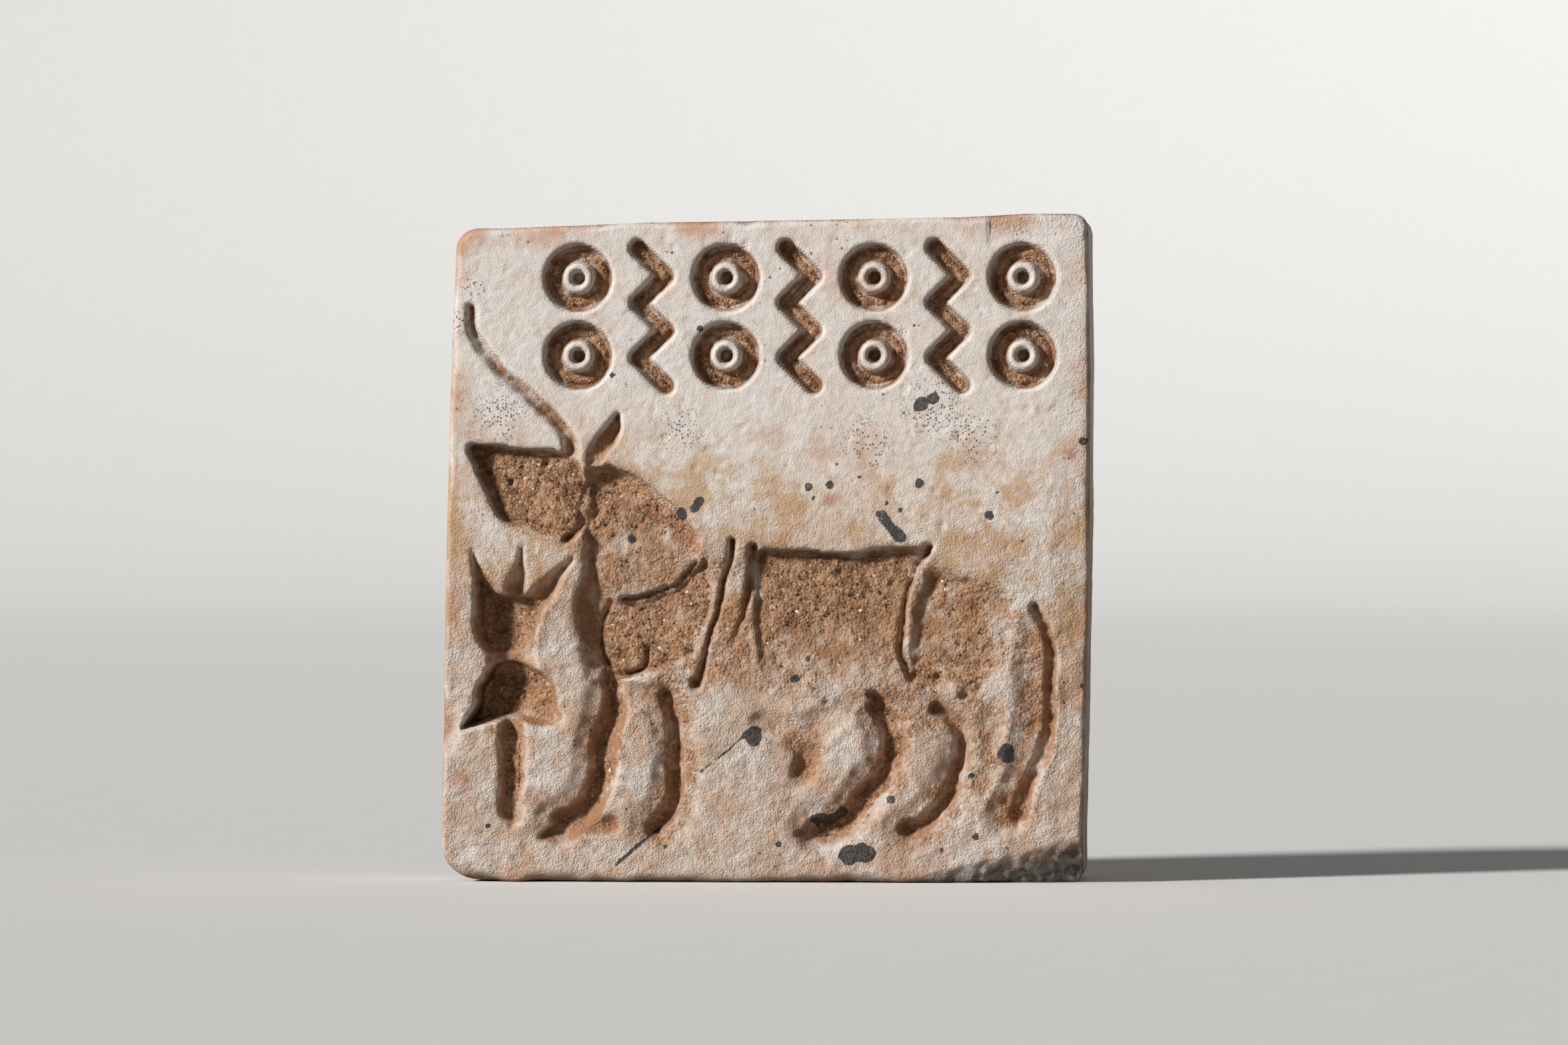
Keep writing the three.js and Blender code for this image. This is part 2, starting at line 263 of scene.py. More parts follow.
def measure(line, x, z, closed):
    """For each point: distance to the line, side (+1 is the left), share of the length, and if inside."""
    best = np.full(x.shape, np.inf)
    side = np.zeros(x.shape)
    share = np.zeros(x.shape)
    inside = np.zeros(x.shape, bool)
    ends = np.roll(line, -1, axis=0) if closed else line[1:]
    count = len(ends)
    for i, (start, end) in enumerate(zip(line, ends)):
        dx, dz = end - start
        length_squared = dx * dx + dz * dz + TINY
        t = np.clip(((x - start[0]) * dx + (z - start[1]) * dz) / length_squared, 0, 1)
        off_x = x - start[0] - t * dx
        off_z = z - start[1] - t * dz
        distance = np.hypot(off_x, off_z)
        nearer = distance < best
        best = np.where(nearer, distance, best)
        side = np.where(nearer, np.sign(dx * off_z - dz * off_x), side)
        share = np.where(nearer, (i + t) / count, share)
        crosses = (start[1] > z) != (end[1] > z)
        inside ^= crosses & (x < start[0] + (z - start[1]) * dx / (dz or TINY))
    return best, side, share, inside


def steep_wall(t):
    """A wall that drops sharply at its lip and runs out softly into the floor."""
    return 1 - (1 - np.clip(t, 0, 1)) ** WALL_STEEPNESS


def cut(window, depth):
    """Deepens the carving in a part of the net. Where it is deeper already, it stays."""
    carving[window] = np.maximum(carving[window], depth)


def keep_inside(name, window, depth_in, coat):
    """Remembers how far inside a named cut each point lies, and how thick its soil is."""
    if name:
        field = np.full_like(net_x, FAR_OUTSIDE)
        field[window] = depth_in
        inside_of[name] = field
        coat_of[name] = coat


def hollow(name, points, deep_at, deep, shallow_at, shallow, wall, coat=0.0, soft=False):
    """Cuts an outline with a wall of the given width and a floor that slopes between two places."""
    outline = soft_curve(points, True)
    window = window_round(outline)
    x, z = drawn_x[window], drawn_z[window]
    distance, _, _, inside = measure(outline, x, z, True)
    depth_in = np.where(inside, distance, -distance)
    start, end = on_face(deep_at), on_face(shallow_at)
    slope = end - start
    share = ((x - start[0]) * slope[0] + (z - start[1]) * slope[1]) / slope.dot(slope)
    floor_depth = deep + (shallow - deep) * np.clip(share, *FLOOR_RUN)
    profile = ease if soft else steep_wall
    cut(window, np.maximum(floor_depth, 0) * profile(depth_in / wall))
    keep_inside(name, window, depth_in, coat)


def groove(name, points, depth, west, east, coat=0.0, blunt=2.0):
    """Cuts along a line drawn downwards. Depth, west and east each hold an upper and a lower value."""
    line = soft_curve(points, False)
    window = window_round(line)
    distance, side, share, _ = measure(line, drawn_x[window], drawn_z[window], False)
    reach_west = west[0] + (west[1] - west[0]) * share
    reach_east = east[0] + (east[1] - east[0]) * share
    reach = np.where(side > 0, reach_east, reach_west)
    deepest = depth[0] + (depth[1] - depth[0]) * share
    cut(window, deepest * (1 - np.clip(distance / reach, 0, 1) ** blunt))
    keep_inside(name, window, reach - distance, coat)


print("the hand wanders by", round(float(np.abs(drawn_x - net_x).max()), 2), "mm at most")

# %% [markdown]
# The bull is made of a few large hollows with sloping floors. The light falls from the upper left, so a
# floor that is deep at its upper left and rises to the lower right shows as a dark edge that melts into a
# bright one.

# %% Hollows of the bull
HEAD = [(4.2, 65.3), (8, 65.7), (14, 65), (20.6, 64), (22.4, 60.5), (22, 56), (21.4, 53), (18.5, 51.9),
        (13, 52.9), (9.2, 54.2), (6.4, 59)]
NECK = [(21.8, 61.5), (25, 62.4), (29, 61.9), (33, 59.6), (37, 56), (40, 51.6), (39.4, 48), (37, 45.2),
        (33, 43.2), (28.8, 42.5), (25.6, 44.3), (23.2, 48), (21.6, 54)]
THROAT = [(22, 61.6), (26, 62.4), (30, 61.4), (34.5, 58.4), (36.5, 55.6), (31, 57), (27, 56), (24, 52.5),
          (22, 55)]
CHEST_BANK = [(21.4, 51), (20.7, 47), (19.9, 42), (19.9, 38), (20.7, 34), (21.9, 31), (25, 29.5), (28, 31),
              (29, 36), (29, 43), (26.5, 46), (25, 51)]
CHEST = [(25, 43), (28, 42.3), (31.5, 42.6), (34.5, 43.6), (37, 45.1), (39.6, 47.6), (41, 48.4), (42, 45),
         (41.6, 40), (40.6, 35.4), (37.4, 33), (32, 31.4), (28, 30.8), (25, 32.2), (24.2, 36.5), (24.4, 40)]
TRUNK = [(22, 52), (30, 50), (40, 50), (47, 50.4), (60, 49.6), (74, 50), (86, 46), (91, 40), (90, 32),
         (80, 26), (66, 25), (52, 25), (40, 28), (26, 29), (23, 38)]
BODY = [(48.6, 49.4), (54, 49.8), (60, 49.4), (66, 50), (72, 50.2), (75, 49.6), (73.2, 46.6), (72, 43),
        (71.2, 39), (70.8, 35), (71.6, 31.5), (70, 28), (64, 26), (58, 25.4), (53, 27), (49.4, 32),
        (48.2, 38), (47.8, 44)]
HAUNCH = [(74.6, 48), (79, 47.2), (84, 46), (88, 44), (90, 40), (89, 35), (85.6, 31), (81, 28.5),
          (76, 27.6), (72.4, 28.6), (71, 31.5), (70.9, 35), (71.4, 39), (72.4, 43)]
EAR = [(27.2, 70.8), (25.5, 69), (23.6, 66.8), (22.6, 64.8), (22.6, 62.4), (24.4, 62.6), (25.8, 64.4),
       (27.4, 66.4), (28, 68.3)]

hollow(None, TRUNK, (50, 48), 0.3, (60, 27), 0.2, wall=1.5, soft=True)
hollow("head", HEAD, (5.5, 64), 1.25, (19, 53.5), 0.55, wall=0.3, coat=0.06)
hollow("neck", NECK, (26, 60), 0.85, (36, 47), 0.42, wall=0.45, coat=-0.01)
hollow(None, THROAT, (27, 61), 1.15, (35, 56), 0.8, wall=0.6, soft=True)
hollow(None, CHEST_BANK, (24, 46), 1.15, (25, 30), 1.05, wall=1.35, soft=True)
hollow("chest", CHEST, (25.5, 41), 1.2, (41, 33), 0.35, wall=0.3, coat=0.02)
hollow("body", BODY, (56, 49), 0.95, (60, 27.5), 0.16, wall=0.25, coat=-0.01)
hollow("haunch", HAUNCH, (74, 46.5), 0.8, (87, 35), 0.3, wall=1.0, coat=0.02, soft=True)
hollow(None, EAR, (27, 68), 0.9, (23, 64), 0.45, wall=0.35)
print("hollows with soil:", sorted(inside_of))

# %% [markdown]
# Legs, tail, horn and the lines of the shoulder are strokes of a narrow tool. Each stroke is a line, its
# depths, and its reach on either hand: short for a steep wall, long for one that was worn to a slope. A leg
# is cut twice, once wide and shallow and once narrow and deep, so that it has a soft shoulder.

# %% Strokes of the bull
STROKES = {
    "horn": ([(4.6, 86), (4.7, 83.5), (5.6, 81), (8, 78), (11, 75.2), (14, 72.8), (17, 70.2), (19, 67.5),
              (20.2, 64.8)], (0.5, 0.75), (0.3, 0.5), (0.3, 0.5)),
    "under the horn": ([(19.6, 58.4), (22, 58), (24.6, 58.4)], (0.95, 0.95), (1.1, 1.1), (1.1, 1.1)),
    "jaw": ([(20.4, 57), (21.4, 55.4), (21.4, 53.4), (19.4, 51.8)], (0.8, 0.9), (0.3, 0.3), (0.3, 0.3)),
    "crescent": ([(39.2, 47.8), (37, 45.3), (34.5, 43.8), (31.5, 42.8), (28, 42.4)],
                 (0.7, 1.1), (0.16, 0.26), (0.16, 0.26)),
    "curl": ([(26, 42), (24.5, 38.5), (24.3, 35.5), (25.2, 32.7), (27, 31.3), (29.5, 31.6), (31.3, 32.6),
              (31.7, 35)], (1.5, 1.35), (0.3, 0.25), (0.35, 0.28)),
    "shoulder front": ([(45, 51), (44.6, 48), (43.4, 44), (42.4, 40), (41.6, 36.5), (40.6, 33),
                        (39.6, 29.4)], (0.75, 0.8), (0.26, 0.24), (0.22, 0.2)),
    "shoulder rear": ([(48.2, 50), (47.6, 46), (46.9, 42), (46.2, 38.5), (45.2, 35.5)],
                      (1.0, 0.4), (0.34, 0.2), (0.34, 0.2)),
    "flank": ([(75.2, 49.3), (73.5, 47.3), (72.4, 44.5), (71.8, 41.5), (71.2, 38.5), (70.9, 36), (71, 33.5),
               (72.5, 31)], (1.05, 0.8), (0.5, 0.4), (0.16, 0.16)),
    "tail bank": ([(90.6, 37), (91.6, 30), (91.4, 24), (90, 18), (88.4, 13), (87.6, 10)],
                  (0.35, 0.5), (1.2, 1.3), (1.1, 1.2)),
    "belly step": ([(50, 24), (53, 23.2), (55.5, 21.4), (56.5, 19), (55.6, 16.4)],
                   (0.35, 0.55), (0.9, 0.7), (0.8, 0.9)),
    "over the forelegs": ([(26, 29), (29.5, 28.4), (33, 28)], (0.6, 0.5), (0.9, 0.8), (0.9, 0.8)),
    "over the hind leg": ([(56.6, 22.6), (60, 25.6), (64, 27.2), (68, 26.4), (71.5, 26.6), (75.6, 27)],
                          (0.25, 0.45), (1.2, 1.0), (1.2, 1.1)),
    "thigh": ([(81, 29), (84, 26), (84.6, 21), (83.6, 15)], (0.4, 0.35), (0.9, 0.9), (1.0, 1.0)),
    "front hoof": ([(26, 8.8), (22.4, 8.6), (18.6, 9.4)], (0.7, 0.8), (0.6, 0.6), (0.6, 0.6)),
}
LEGS = {
    "leading_foreleg": ([(25.4, 31), (25.7, 27), (25, 23.5), (24.3, 20), (23.8, 16.5), (22.8, 13.5),
                         (21, 11), (18.4, 9.2)], (1.25, 1.2), (0.42, 0.6), (1.15, 1.5)),
    "trailing_foreleg": ([(34.6, 28), (35.8, 24), (36.3, 18), (36.2, 14), (35, 10.5), (33, 8.2)],
                         (1.2, 1.15), (0.55, 0.7), (0.48, 0.6)),
    "leading_hindleg": ([(67, 26.4), (68.8, 23), (69.2, 20), (68.4, 17.2), (66.5, 14.8), (64.5, 12.5),
                         (62.5, 10), (60.5, 8.7), (57.6, 8)], (1.2, 1.15), (0.45, 0.6), (1.05, 1.15)),
    "trailing_hindleg": ([(76.4, 26), (79.4, 24), (80.3, 21.4), (80, 18.4), (79, 15), (77, 11.4), (74.5, 9),
                          (72, 8.2)], (1.1, 1.05), (0.5, 0.6), (0.5, 0.7)),
}
TAIL = [(91.5, 41.3), (93.2, 38.5), (94, 34), (94.1, 29), (94, 24.5), (93, 20), (91.8, 17), (90.5, 14),
        (89.4, 10)]
LEG_SHOULDER_DEPTH = (0.42, 0.4)
LEG_SHOULDER_REACH = (1.3, 1.5)
LEG_BLUNTNESS = 2.4

for stroke in STROKES.values():
    groove(None, *stroke)
for leg_name, leg in LEGS.items():
    groove(None, leg[0], LEG_SHOULDER_DEPTH, LEG_SHOULDER_REACH, LEG_SHOULDER_REACH)
    groove(leg_name, *leg, blunt=LEG_BLUNTNESS)
groove("tail", TAIL, (0.6, 0.95), (0.32, 0.95), (0.26, 0.42), coat=-0.03, blunt=LEG_BLUNTNESS)
print("strokes:", len(STROKES), "without soil,", len(LEGS) + 1, "with soil")

# %% [markdown]
# The offering stand under the muzzle is the deepest cutting of all: a bowl with three spikes, a neck, a
# dome and a stem.

# %% Offering stand
BOWL = [(5, 46), (9, 43.6), (13.4, 43.6), (16.4, 42.6), (15.2, 39.5), (14.2, 36.4), (12.4, 34.4),
        (9.2, 34), (6.6, 35), (5, 39.4)]
DOME = [(8, 33.2), (11, 33.8), (13.8, 32.6), (16.4, 30.4), (18.2, 27.4), (19.2, 24), (15, 23.2),
        (10.8, 24.2), (6, 23.5), (2.9, 23.3), (4.6, 26.4), (5.8, 29.6)]
SPIKES = [
    ([(4.2, 50), (5.6, 46), (7.8, 42.6)], (0.25, 1.2), (0.12, 0.6), (0.15, 0.8)),
    ([(12.4, 50.3), (12.1, 46.6), (11.6, 43)], (0.2, 1.2), (0.1, 0.9), (0.1, 0.6)),
    ([(20.2, 48.7), (17.4, 45.2), (14.6, 42)], (0.25, 1.1), (0.12, 0.8), (0.15, 0.7)),
]
SPIKE_BLUNTNESS = 1.4
STAND_NECK = [(10, 37), (10.6, 32)]
STEM = [(10.3, 24), (10.4, 17), (10.3, 10.4)]

hollow("stand_bowl", BOWL, (8.5, 40), 2.0, (14.6, 40), 1.3, wall=0.7, coat=-0.02)
for spike in SPIKES:
    groove(None, *spike, blunt=SPIKE_BLUNTNESS)
groove(None, STAND_NECK, (1.25, 1.25), (1.1, 1.2), (1.5, 1.6))
hollow("stand_dome", DOME, (9, 30), 2.3, (17.6, 24.4), 0.75, wall=0.6, coat=-0.03)
groove("stand_stem", STEM, (0.9, 0.75), (0.55, 0.6), (0.95, 0.9), blunt=2.2)
print("deepest cut:", round(float(carving.max()), 2), "mm")

# %% [markdown]
# Small dents were left by the point of the tool, most of them where one hollow ends and the next begins.
# Each is given by its place, its radius and its depth.

# %% Dents
DENTS = [
    (10.5, 60, 0.35, 1.5), (80.8, 28, 0.42, 0.6), (82.8, 29, 0.4, 0.55), (73, 31, 0.55, 0.95),
    (76.5, 30.8, 0.45, 0.8), (39.3, 29.9, 0.4, 0.95), (59.4, 27, 0.3, 0.45), (61.5, 46.5, 0.5, 1.15),
    (69.6, 45, 0.4, 1.05), (7, 61.5, 0.4, 1.5), (16, 62.8, 0.4, 1.45),
]


def away_from(across, up):
    """How far each point of the net lies from a place of the drawing, in millimetres."""
    x, z = on_face((across, up))
    return np.hypot(net_x - x, net_z - z)


for across, up, radius, depth in DENTS:
    cut(WHOLE_NET, depth * (1 - np.clip(away_from(across, up) / radius, 0, 1) ** 2))
print("dents:", len(DENTS))

# %% [markdown]
# The frieze is a row of generic ornament: pairs of rings with a dot, and zigzags between them. Its places
# come from the soil nodes of the frame, so the cuts and the solids stay together.

# %% Frieze
FRIEZE_DEPTH = 0.8
FRIEZE_WALL = 0.18
FRIEZE_COAT = 0.12
SOIL_CLEARANCE = 0.3
RING_GROOVE = 1.05
DOT_RADIUS = 0.42
ZIGZAG_STEPS = 5
ZIGZAG_GROOVE = 1.0
ZIGZAG_MARGIN = 0.7


def soil_box(name):
    """Lowest and highest corner of a soil node over the face, in millimetres, grown to its hollow."""
    low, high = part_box(f"soil_in_{name}")
    return (
        np.array((low[0], low[2])) / MM - SOIL_CLEARANCE,
        np.array((high[0], high[2])) / MM + SOIL_CLEARANCE,
    )


def cut_ring(name, low, high):
    """Cuts a ring with a dot in its middle into a box of the face."""
    centre = (low + high) / 2
    outer = (high[0] - low[0]) / 2
    from_centre = np.hypot(net_x - centre[0], net_z - centre[1])
    middle = outer - RING_GROOVE / 2
    in_ring = RING_GROOVE / 2 - np.abs(from_centre - middle)
    cut(WHOLE_NET, FRIEZE_DEPTH * steep_wall(in_ring / FRIEZE_WALL))
    cut(WHOLE_NET, FRIEZE_DEPTH * steep_wall((DOT_RADIUS - from_centre) / FRIEZE_WALL))
    keep_inside(name, WHOLE_NET, in_ring, FRIEZE_COAT)


def cut_zigzag(name, low, high):
    """Cuts a zigzag down a box of the face, from side to side."""
    half = ZIGZAG_GROOVE / 2
    rows = np.linspace(high[1] - half, low[1] + half, ZIGZAG_STEPS + 1)
    sides = (low[0] + ZIGZAG_MARGIN, high[0] - ZIGZAG_MARGIN)
    turns = np.array([(sides[i % 2], row) for i, row in enumerate(rows)])
    window = window_round(turns)
    distance = measure(turns, net_x[window], net_z[window], False)[0]
    cut(window, FRIEZE_DEPTH * steep_wall((half - distance) / FRIEZE_WALL))
    keep_inside(name, window, half - distance, FRIEZE_COAT)


frieze_names = [name[len("soil_in_"):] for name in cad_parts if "_ring_" in name or "_zigzag_" in name]
for frieze_name in frieze_names:
    cut_shape = cut_ring if frieze_name.startswith("ring") else cut_zigzag
    cut_shape(frieze_name, *soil_box(frieze_name))
print("frieze:", len(frieze_names), "cuts")

# %% [markdown]
# The outline of the block isn't quite square: its edges lean and bow, and its corners are rounded. The same
# outline shapes the block's mesh later, and it gives each point of the face its distance to the rim.

# %% Outline of the block
CORNERS = {"lower_left": 1.9, "lower_right": 0.7, "upper_left": 1.2, "upper_right": 0.8}
LEFT_EDGE = [(6, 0), (20, 0.1), (50, 0.7), (80, 1.5), (96, 2.2)]
RIGHT_EDGE = [(8, 98.9), (30, 99.4), (52, 99.9), (76, 100), (96, 99.7)]
LOWER_EDGE = [(7, 0.3), (11, 0), (97, 0)]
UPPER_EDGE = [(8, 98), (30, 98.8), (60, 99.2), (80, 99.5), (90, 100)]
RIM_STEPS = 60


def edge(points, share):
    """How far across or up an edge of the block lies, in squares, at each share of its length."""
    at, value = zip(*points)
    return np.interp(share * 100, at, value)


def on_block(u, v):
    """Carries a point of a square net to the block's outline, with its corners rounded."""
    left = (edge(LEFT_EDGE, v) / 100 - 0.5) * SEAL_WIDTH
    right = (edge(RIGHT_EDGE, v) / 100 - 0.5) * SEAL_WIDTH
    lower = edge(LOWER_EDGE, u) / 100 * SEAL_HEIGHT
    upper = edge(UPPER_EDGE, u) / 100 * SEAL_HEIGHT
    x = left + (right - left) * u
    z = lower + (upper - lower) * v
    for name, radius in CORNERS.items():
        beside_x = (x - left) if "left" in name else (right - x)
        beside_z = (z - lower) if "lower" in name else (upper - z)
        a = 1 - beside_x / radius
        b = 1 - beside_z / radius
        in_corner = (a > 0) & (b > 0)
        shrink = np.where(in_corner, np.maximum(a, b) / np.maximum(np.hypot(a, b), TINY), 1)
        move_x = radius * a * (1 - shrink) * (1 if "left" in name else -1)
        move_z = radius * b * (1 - shrink) * (1 if "lower" in name else -1)
        x = np.where(in_corner, x + move_x, x)
        z = np.where(in_corner, z + move_z, z)
    return x, z


walk = np.linspace(0, 1, RIM_STEPS, endpoint=False)
no_walk = np.zeros_like(walk)
rim_u = np.concatenate((walk, no_walk + 1, 1 - walk, no_walk))
rim_v = np.concatenate((no_walk, walk, no_walk + 1, 1 - walk))
rim_line = np.column_stack(on_block(rim_u, rim_v))
rim_distance, _, _, in_block = measure(rim_line, net_x, net_z, True)
from_rim = np.where(in_block, rim_distance, 0.0)
print("outline of the block:", len(rim_line), "points")

# %% [markdown]
# Nothing on the stone is quite flat. Soft random patches of several sizes roughen the cut floors more than
# the polished face, the edges are rubbed round, one corner is worn away at a slant, a few chips are missing,
# and small pits are strewn over it all.

# %% Wear of the face
TOOL_MARK_DEPTH = 0.15
TOOL_MARK_SIZE = 1.6
CHATTER_SHARE = 0.55
CHATTER_SIZE = 0.22
CUT_BEGINS = 0.5
UNPOLISHED_BELOW = 20
UNPOLISHED_BAND = 8
POLISHED_SHARE = 0.2
SKIN_DEPTH = 0.05
SKIN_SIZE = 0.45
FACE_DENT_DEPTH = 0.03
FACE_DENT_SIZE = 2.4
FACE_GRAIN_DEPTH = 0.02
FACE_GRAIN_SIZE = 0.25
EDGE_WEAR = 0.42
EDGE_UNEVENNESS = 0.7
EDGE_SIZE = 2.0
LOWER_EDGE_WEAR = 1.1
LOWER_EDGE_BAND = 2.2
WORN_CORNER = {"along": 11.5, "up": 2.7, "deep": 1.9}
CORNER_STEPS = (0.25, 1.0)
CORNER_CRUMBS = (0.2, 0.6)
LEFT_CHIP = {"height": 8.4, "half": 2.0, "depth": 0.45, "reach": 1.1, "fade": 0.9}
RIGHT_RUB = {"from": 12, "depth": 0.18, "reach": 2.2, "unevenness": 0.6, "size": 1.2}
TOP_NOTCH = {"at": (47.1, 99.4), "radius": 0.55, "longer": 1.3, "depth": 0.7}
PIT_COUNT = 420
PIT_RADIUS = (0.09, 0.22)
PIT_DEPTH = 0.45
CREST_SPREAD = 14
DUST_SPREAD = 220


def blur(field, times):
    """Softens a field by averaging each point with its neighbours."""
    for _ in range(times):
        wide = np.pad(field, 1, mode="edge")
        beside = wide[1:-1, :-2] + wide[1:-1, 2:]
        field = (2 * wide[1:-1, 1:-1] + wide[:-2, 1:-1] + wide[2:, 1:-1] + beside) / 6
    return field


cut_share = ease(carving / CUT_BEGINS)
carving += cut_share * TOOL_MARK_DEPTH * rough(TOOL_MARK_SIZE, 11)
carving += cut_share * CHATTER_SHARE * TOOL_MARK_DEPTH * clouds(CHATTER_SIZE, 19)
unpolished = ease((UNPOLISHED_BELOW - net_z) / UNPOLISHED_BAND)
carving += SKIN_DEPTH * (unpolished + POLISHED_SHARE) * (1 + clouds(SKIN_SIZE, 23))
carving = blur(np.maximum(carving, 0), 1)
carving += FACE_DENT_DEPTH * (1 + rough(FACE_DENT_SIZE, 31))
carving += FACE_GRAIN_DEPTH * (1 + clouds(FACE_GRAIN_SIZE, 37))

lower_wear = 1 + LOWER_EDGE_WEAR * ease((LOWER_EDGE_BAND - net_z) / LOWER_EDGE_BAND)
wear = EDGE_WEAR * lower_wear * (1 + EDGE_UNEVENNESS * rough(EDGE_SIZE, 41))
rounding = wear * (1 - np.sqrt(1 - np.clip(1 - from_rim / wear, 0, 1) ** 2))
worn_plane = WORN_CORNER["deep"] * (
    1 - (SEAL_WIDTH / 2 - net_x) / WORN_CORNER["along"] - net_z / WORN_CORNER["up"]
)
broken_plane = worn_plane * (1 + CORNER_STEPS[0] * rough(CORNER_STEPS[1], 43))
broken_plane += CORNER_CRUMBS[0] * rough(CORNER_CRUMBS[1], 45)
carving = np.maximum(np.maximum(carving, rounding), broken_plane)

chip_height = ease(1 - np.abs(net_z - LEFT_CHIP["height"]) / LEFT_CHIP["half"])
at_rim = ease((LEFT_CHIP["reach"] - from_rim) / LEFT_CHIP["fade"])
carving += LEFT_CHIP["depth"] * at_rim * chip_height * (net_x < 0)
at_rim = ease((RIGHT_RUB["reach"] - from_rim) / RIGHT_RUB["reach"]) * (net_x > RIGHT_RUB["from"])
carving += RIGHT_RUB["depth"] * at_rim * (1 + RIGHT_RUB["unevenness"] * rough(RIGHT_RUB["size"], 47))
notch_x, notch_z = on_face(TOP_NOTCH["at"])
from_notch = np.hypot((net_x - notch_x) / TOP_NOTCH["longer"], net_z - notch_z)
carving += TOP_NOTCH["depth"] * ease(1 - from_notch / TOP_NOTCH["radius"])

pit_rng = np.random.default_rng(83)
for _ in range(PIT_COUNT):
    pit_x = (pit_rng.random() - 0.5) * SEAL_WIDTH
    pit_z = pit_rng.random() * SEAL_HEIGHT
    pit_radius = PIT_RADIUS[0] + PIT_RADIUS[1] * pit_rng.random() ** 3
    pit_window = window_round(np.array([(pit_x, pit_z)]))
    pit_away = np.hypot(net_x[pit_window] - pit_x, net_z[pit_window] - pit_z) / pit_radius
    carving[pit_window] += PIT_DEPTH * pit_radius * ease(1 - pit_away)
print("worn face, mean depth:", round(float(carving.mean()), 3), "mm")

# %% [markdown]
# The colour of the stone follows its form: creases are darkened as painted shade, crests are lightened as
# painted highlight, and loose dust lies round the cuts. Each of these is a field over the face, worked out
# from the depth by softening it.
# Dark mineral spots are part of the stone itself. Their places were read one by one, and each is a round or
# ragged patch of its own size. Every mark below is given by its place and its radius.

# %% Fields that the colour follows
SPOTS = [
    (56.8, 59.2, 0.24), (60, 59.5, 0.22), (57.5, 57.6, 0.14), (73.8, 59.8, 0.3), (64.6, 60.8, 0.12),
    (68.8, 56.8, 0.14), (71, 55.8, 0.14), (84.6, 55, 0.24), (85.8, 58.3, 0.1), (26.4, 76, 0.14),
    (26.4, 52, 0.16), (29.3, 51.5, 0.28), (37.2, 55.3, 0.34), (66.5, 45, 0.22), (63.3, 44.2, 0.14),
    (68.4, 42.7, 0.14), (79.5, 37, 0.18), (54.5, 30.5, 0.24), (56.5, 33.5, 0.16), (87.3, 19.6, 0.46),
    (69.5, 12.5, 0.26), (81.8, 16, 0.16), (77.2, 4.9, 0.14), (82.5, 7, 0.18), (52.2, 5.8, 0.2),
    (34.5, 5.4, 0.14), (7.2, 8.5, 0.14), (99, 66, 0.24), (98.7, 29.5, 0.14), (48.2, 22, 0.5),
    (63, 4.2, 0.62), (65, 4.6, 0.6), (58.6, 9.4, 0.5), (40, 83, 0.2), (74, 71.5, 0.4), (76, 72.5, 0.3),
]
STREAKS = [
    ([(68, 55), (69.2, 53.4), (70.8, 51.6)], 0.34),
    ([(39, 56), (40, 57.4)], 0.26),
    ([(33.4, 8), (30, 5.2), (27, 2.6)], 0.1),
    ([(48, 23), (44, 19.6), (40, 16.6)], 0.06),
    ([(62, 10.6), (59, 8.8)], 0.3),
]
SPECKLED = [(76, 71, 2.2), (3, 84, 1.0), (5, 89.5, 0.9), (9, 70, 1.9), (66, 66, 1.8), (82, 67, 2.0),
            (37, 68, 1.6)]
RUST_MARKS = [(15.5, 13, 0.7), (3.5, 15.4, 0.6), (60, 57.4, 0.5), (97, 64, 0.5)]
CRISP = (1.25, 0.5)
SOFT = (1.2, 1.0)
STREAK_STRENGTH = 0.8
RAGGEDNESS = 0.45
RAGGED_SIZE = 0.5
ABRADED_FULL = 0.9
ABRADED_START = 0.1
ABRADED_UNEVENNESS = 0.5
ABRADED_SIZE = 1.2

ragged = 1 + RAGGEDNESS * rough(RAGGED_SIZE, 53)


def marks(places, edge_from, edge_width):
    """A field that is 1 inside every mark and fades over the ragged edge of each."""
    field = np.zeros_like(net_x)
    for across, up, radius in places:
        near = away_from(across, up) / (radius * ragged)
        field = np.maximum(field, ease((edge_from - near) / edge_width))
    return field


spots = marks(SPOTS, *CRISP)
for streak, streak_reach in STREAKS:
    streak_line = soft_curve(streak, False)
    streak_window = window_round(streak_line)
    streak_distance = measure(streak_line, net_x[streak_window], net_z[streak_window], False)[0]
    near = streak_distance / (streak_reach * ragged[streak_window])
    streak_mark = STREAK_STRENGTH * ease((CRISP[0] - near) / CRISP[1])
    spots[streak_window] = np.maximum(spots[streak_window], streak_mark)

abraded = worn_plane / ABRADED_FULL + ABRADED_START + ABRADED_UNEVENNESS * rough(ABRADED_SIZE, 91)
# Each field goes with the value that the rest of the stone has.
STONE_FIELDS = {
    "hollow": (carving, 0.1),
    # The crest field: below zero it drives painted shade in creases, above zero painted highlight on crests.
    "crest": (blur(carving, CREST_SPREAD) - carving, 0.02),
    "dusty": (blur(cut_share, DUST_SPREAD), 0.0),
    "rim": (from_rim, 1.7),
    "spot": (spots, 0.0),
    "speckled": (marks(SPECKLED, *SOFT), 0.0),
    "rust": (marks(RUST_MARKS, *SOFT), 0.0),
    "abraded": (ease(abraded), 0.0),
}
print("spots:", len(SPOTS), "streaks:", len(STREAKS), "fields:", list(STONE_FIELDS))

# %% [markdown]
# The block is two square nets of faces, a fine one for the carved face and a coarse one for the plain back.
# The back net's border is drawn forward in rows to make the sides, and the two borders are bridged. Along
# its border the coarse net has exactly one square for every three of the fine one, so the bridge stays even.

# %% Nets, and fields read at their points
INSIDE_LAST = 1.001


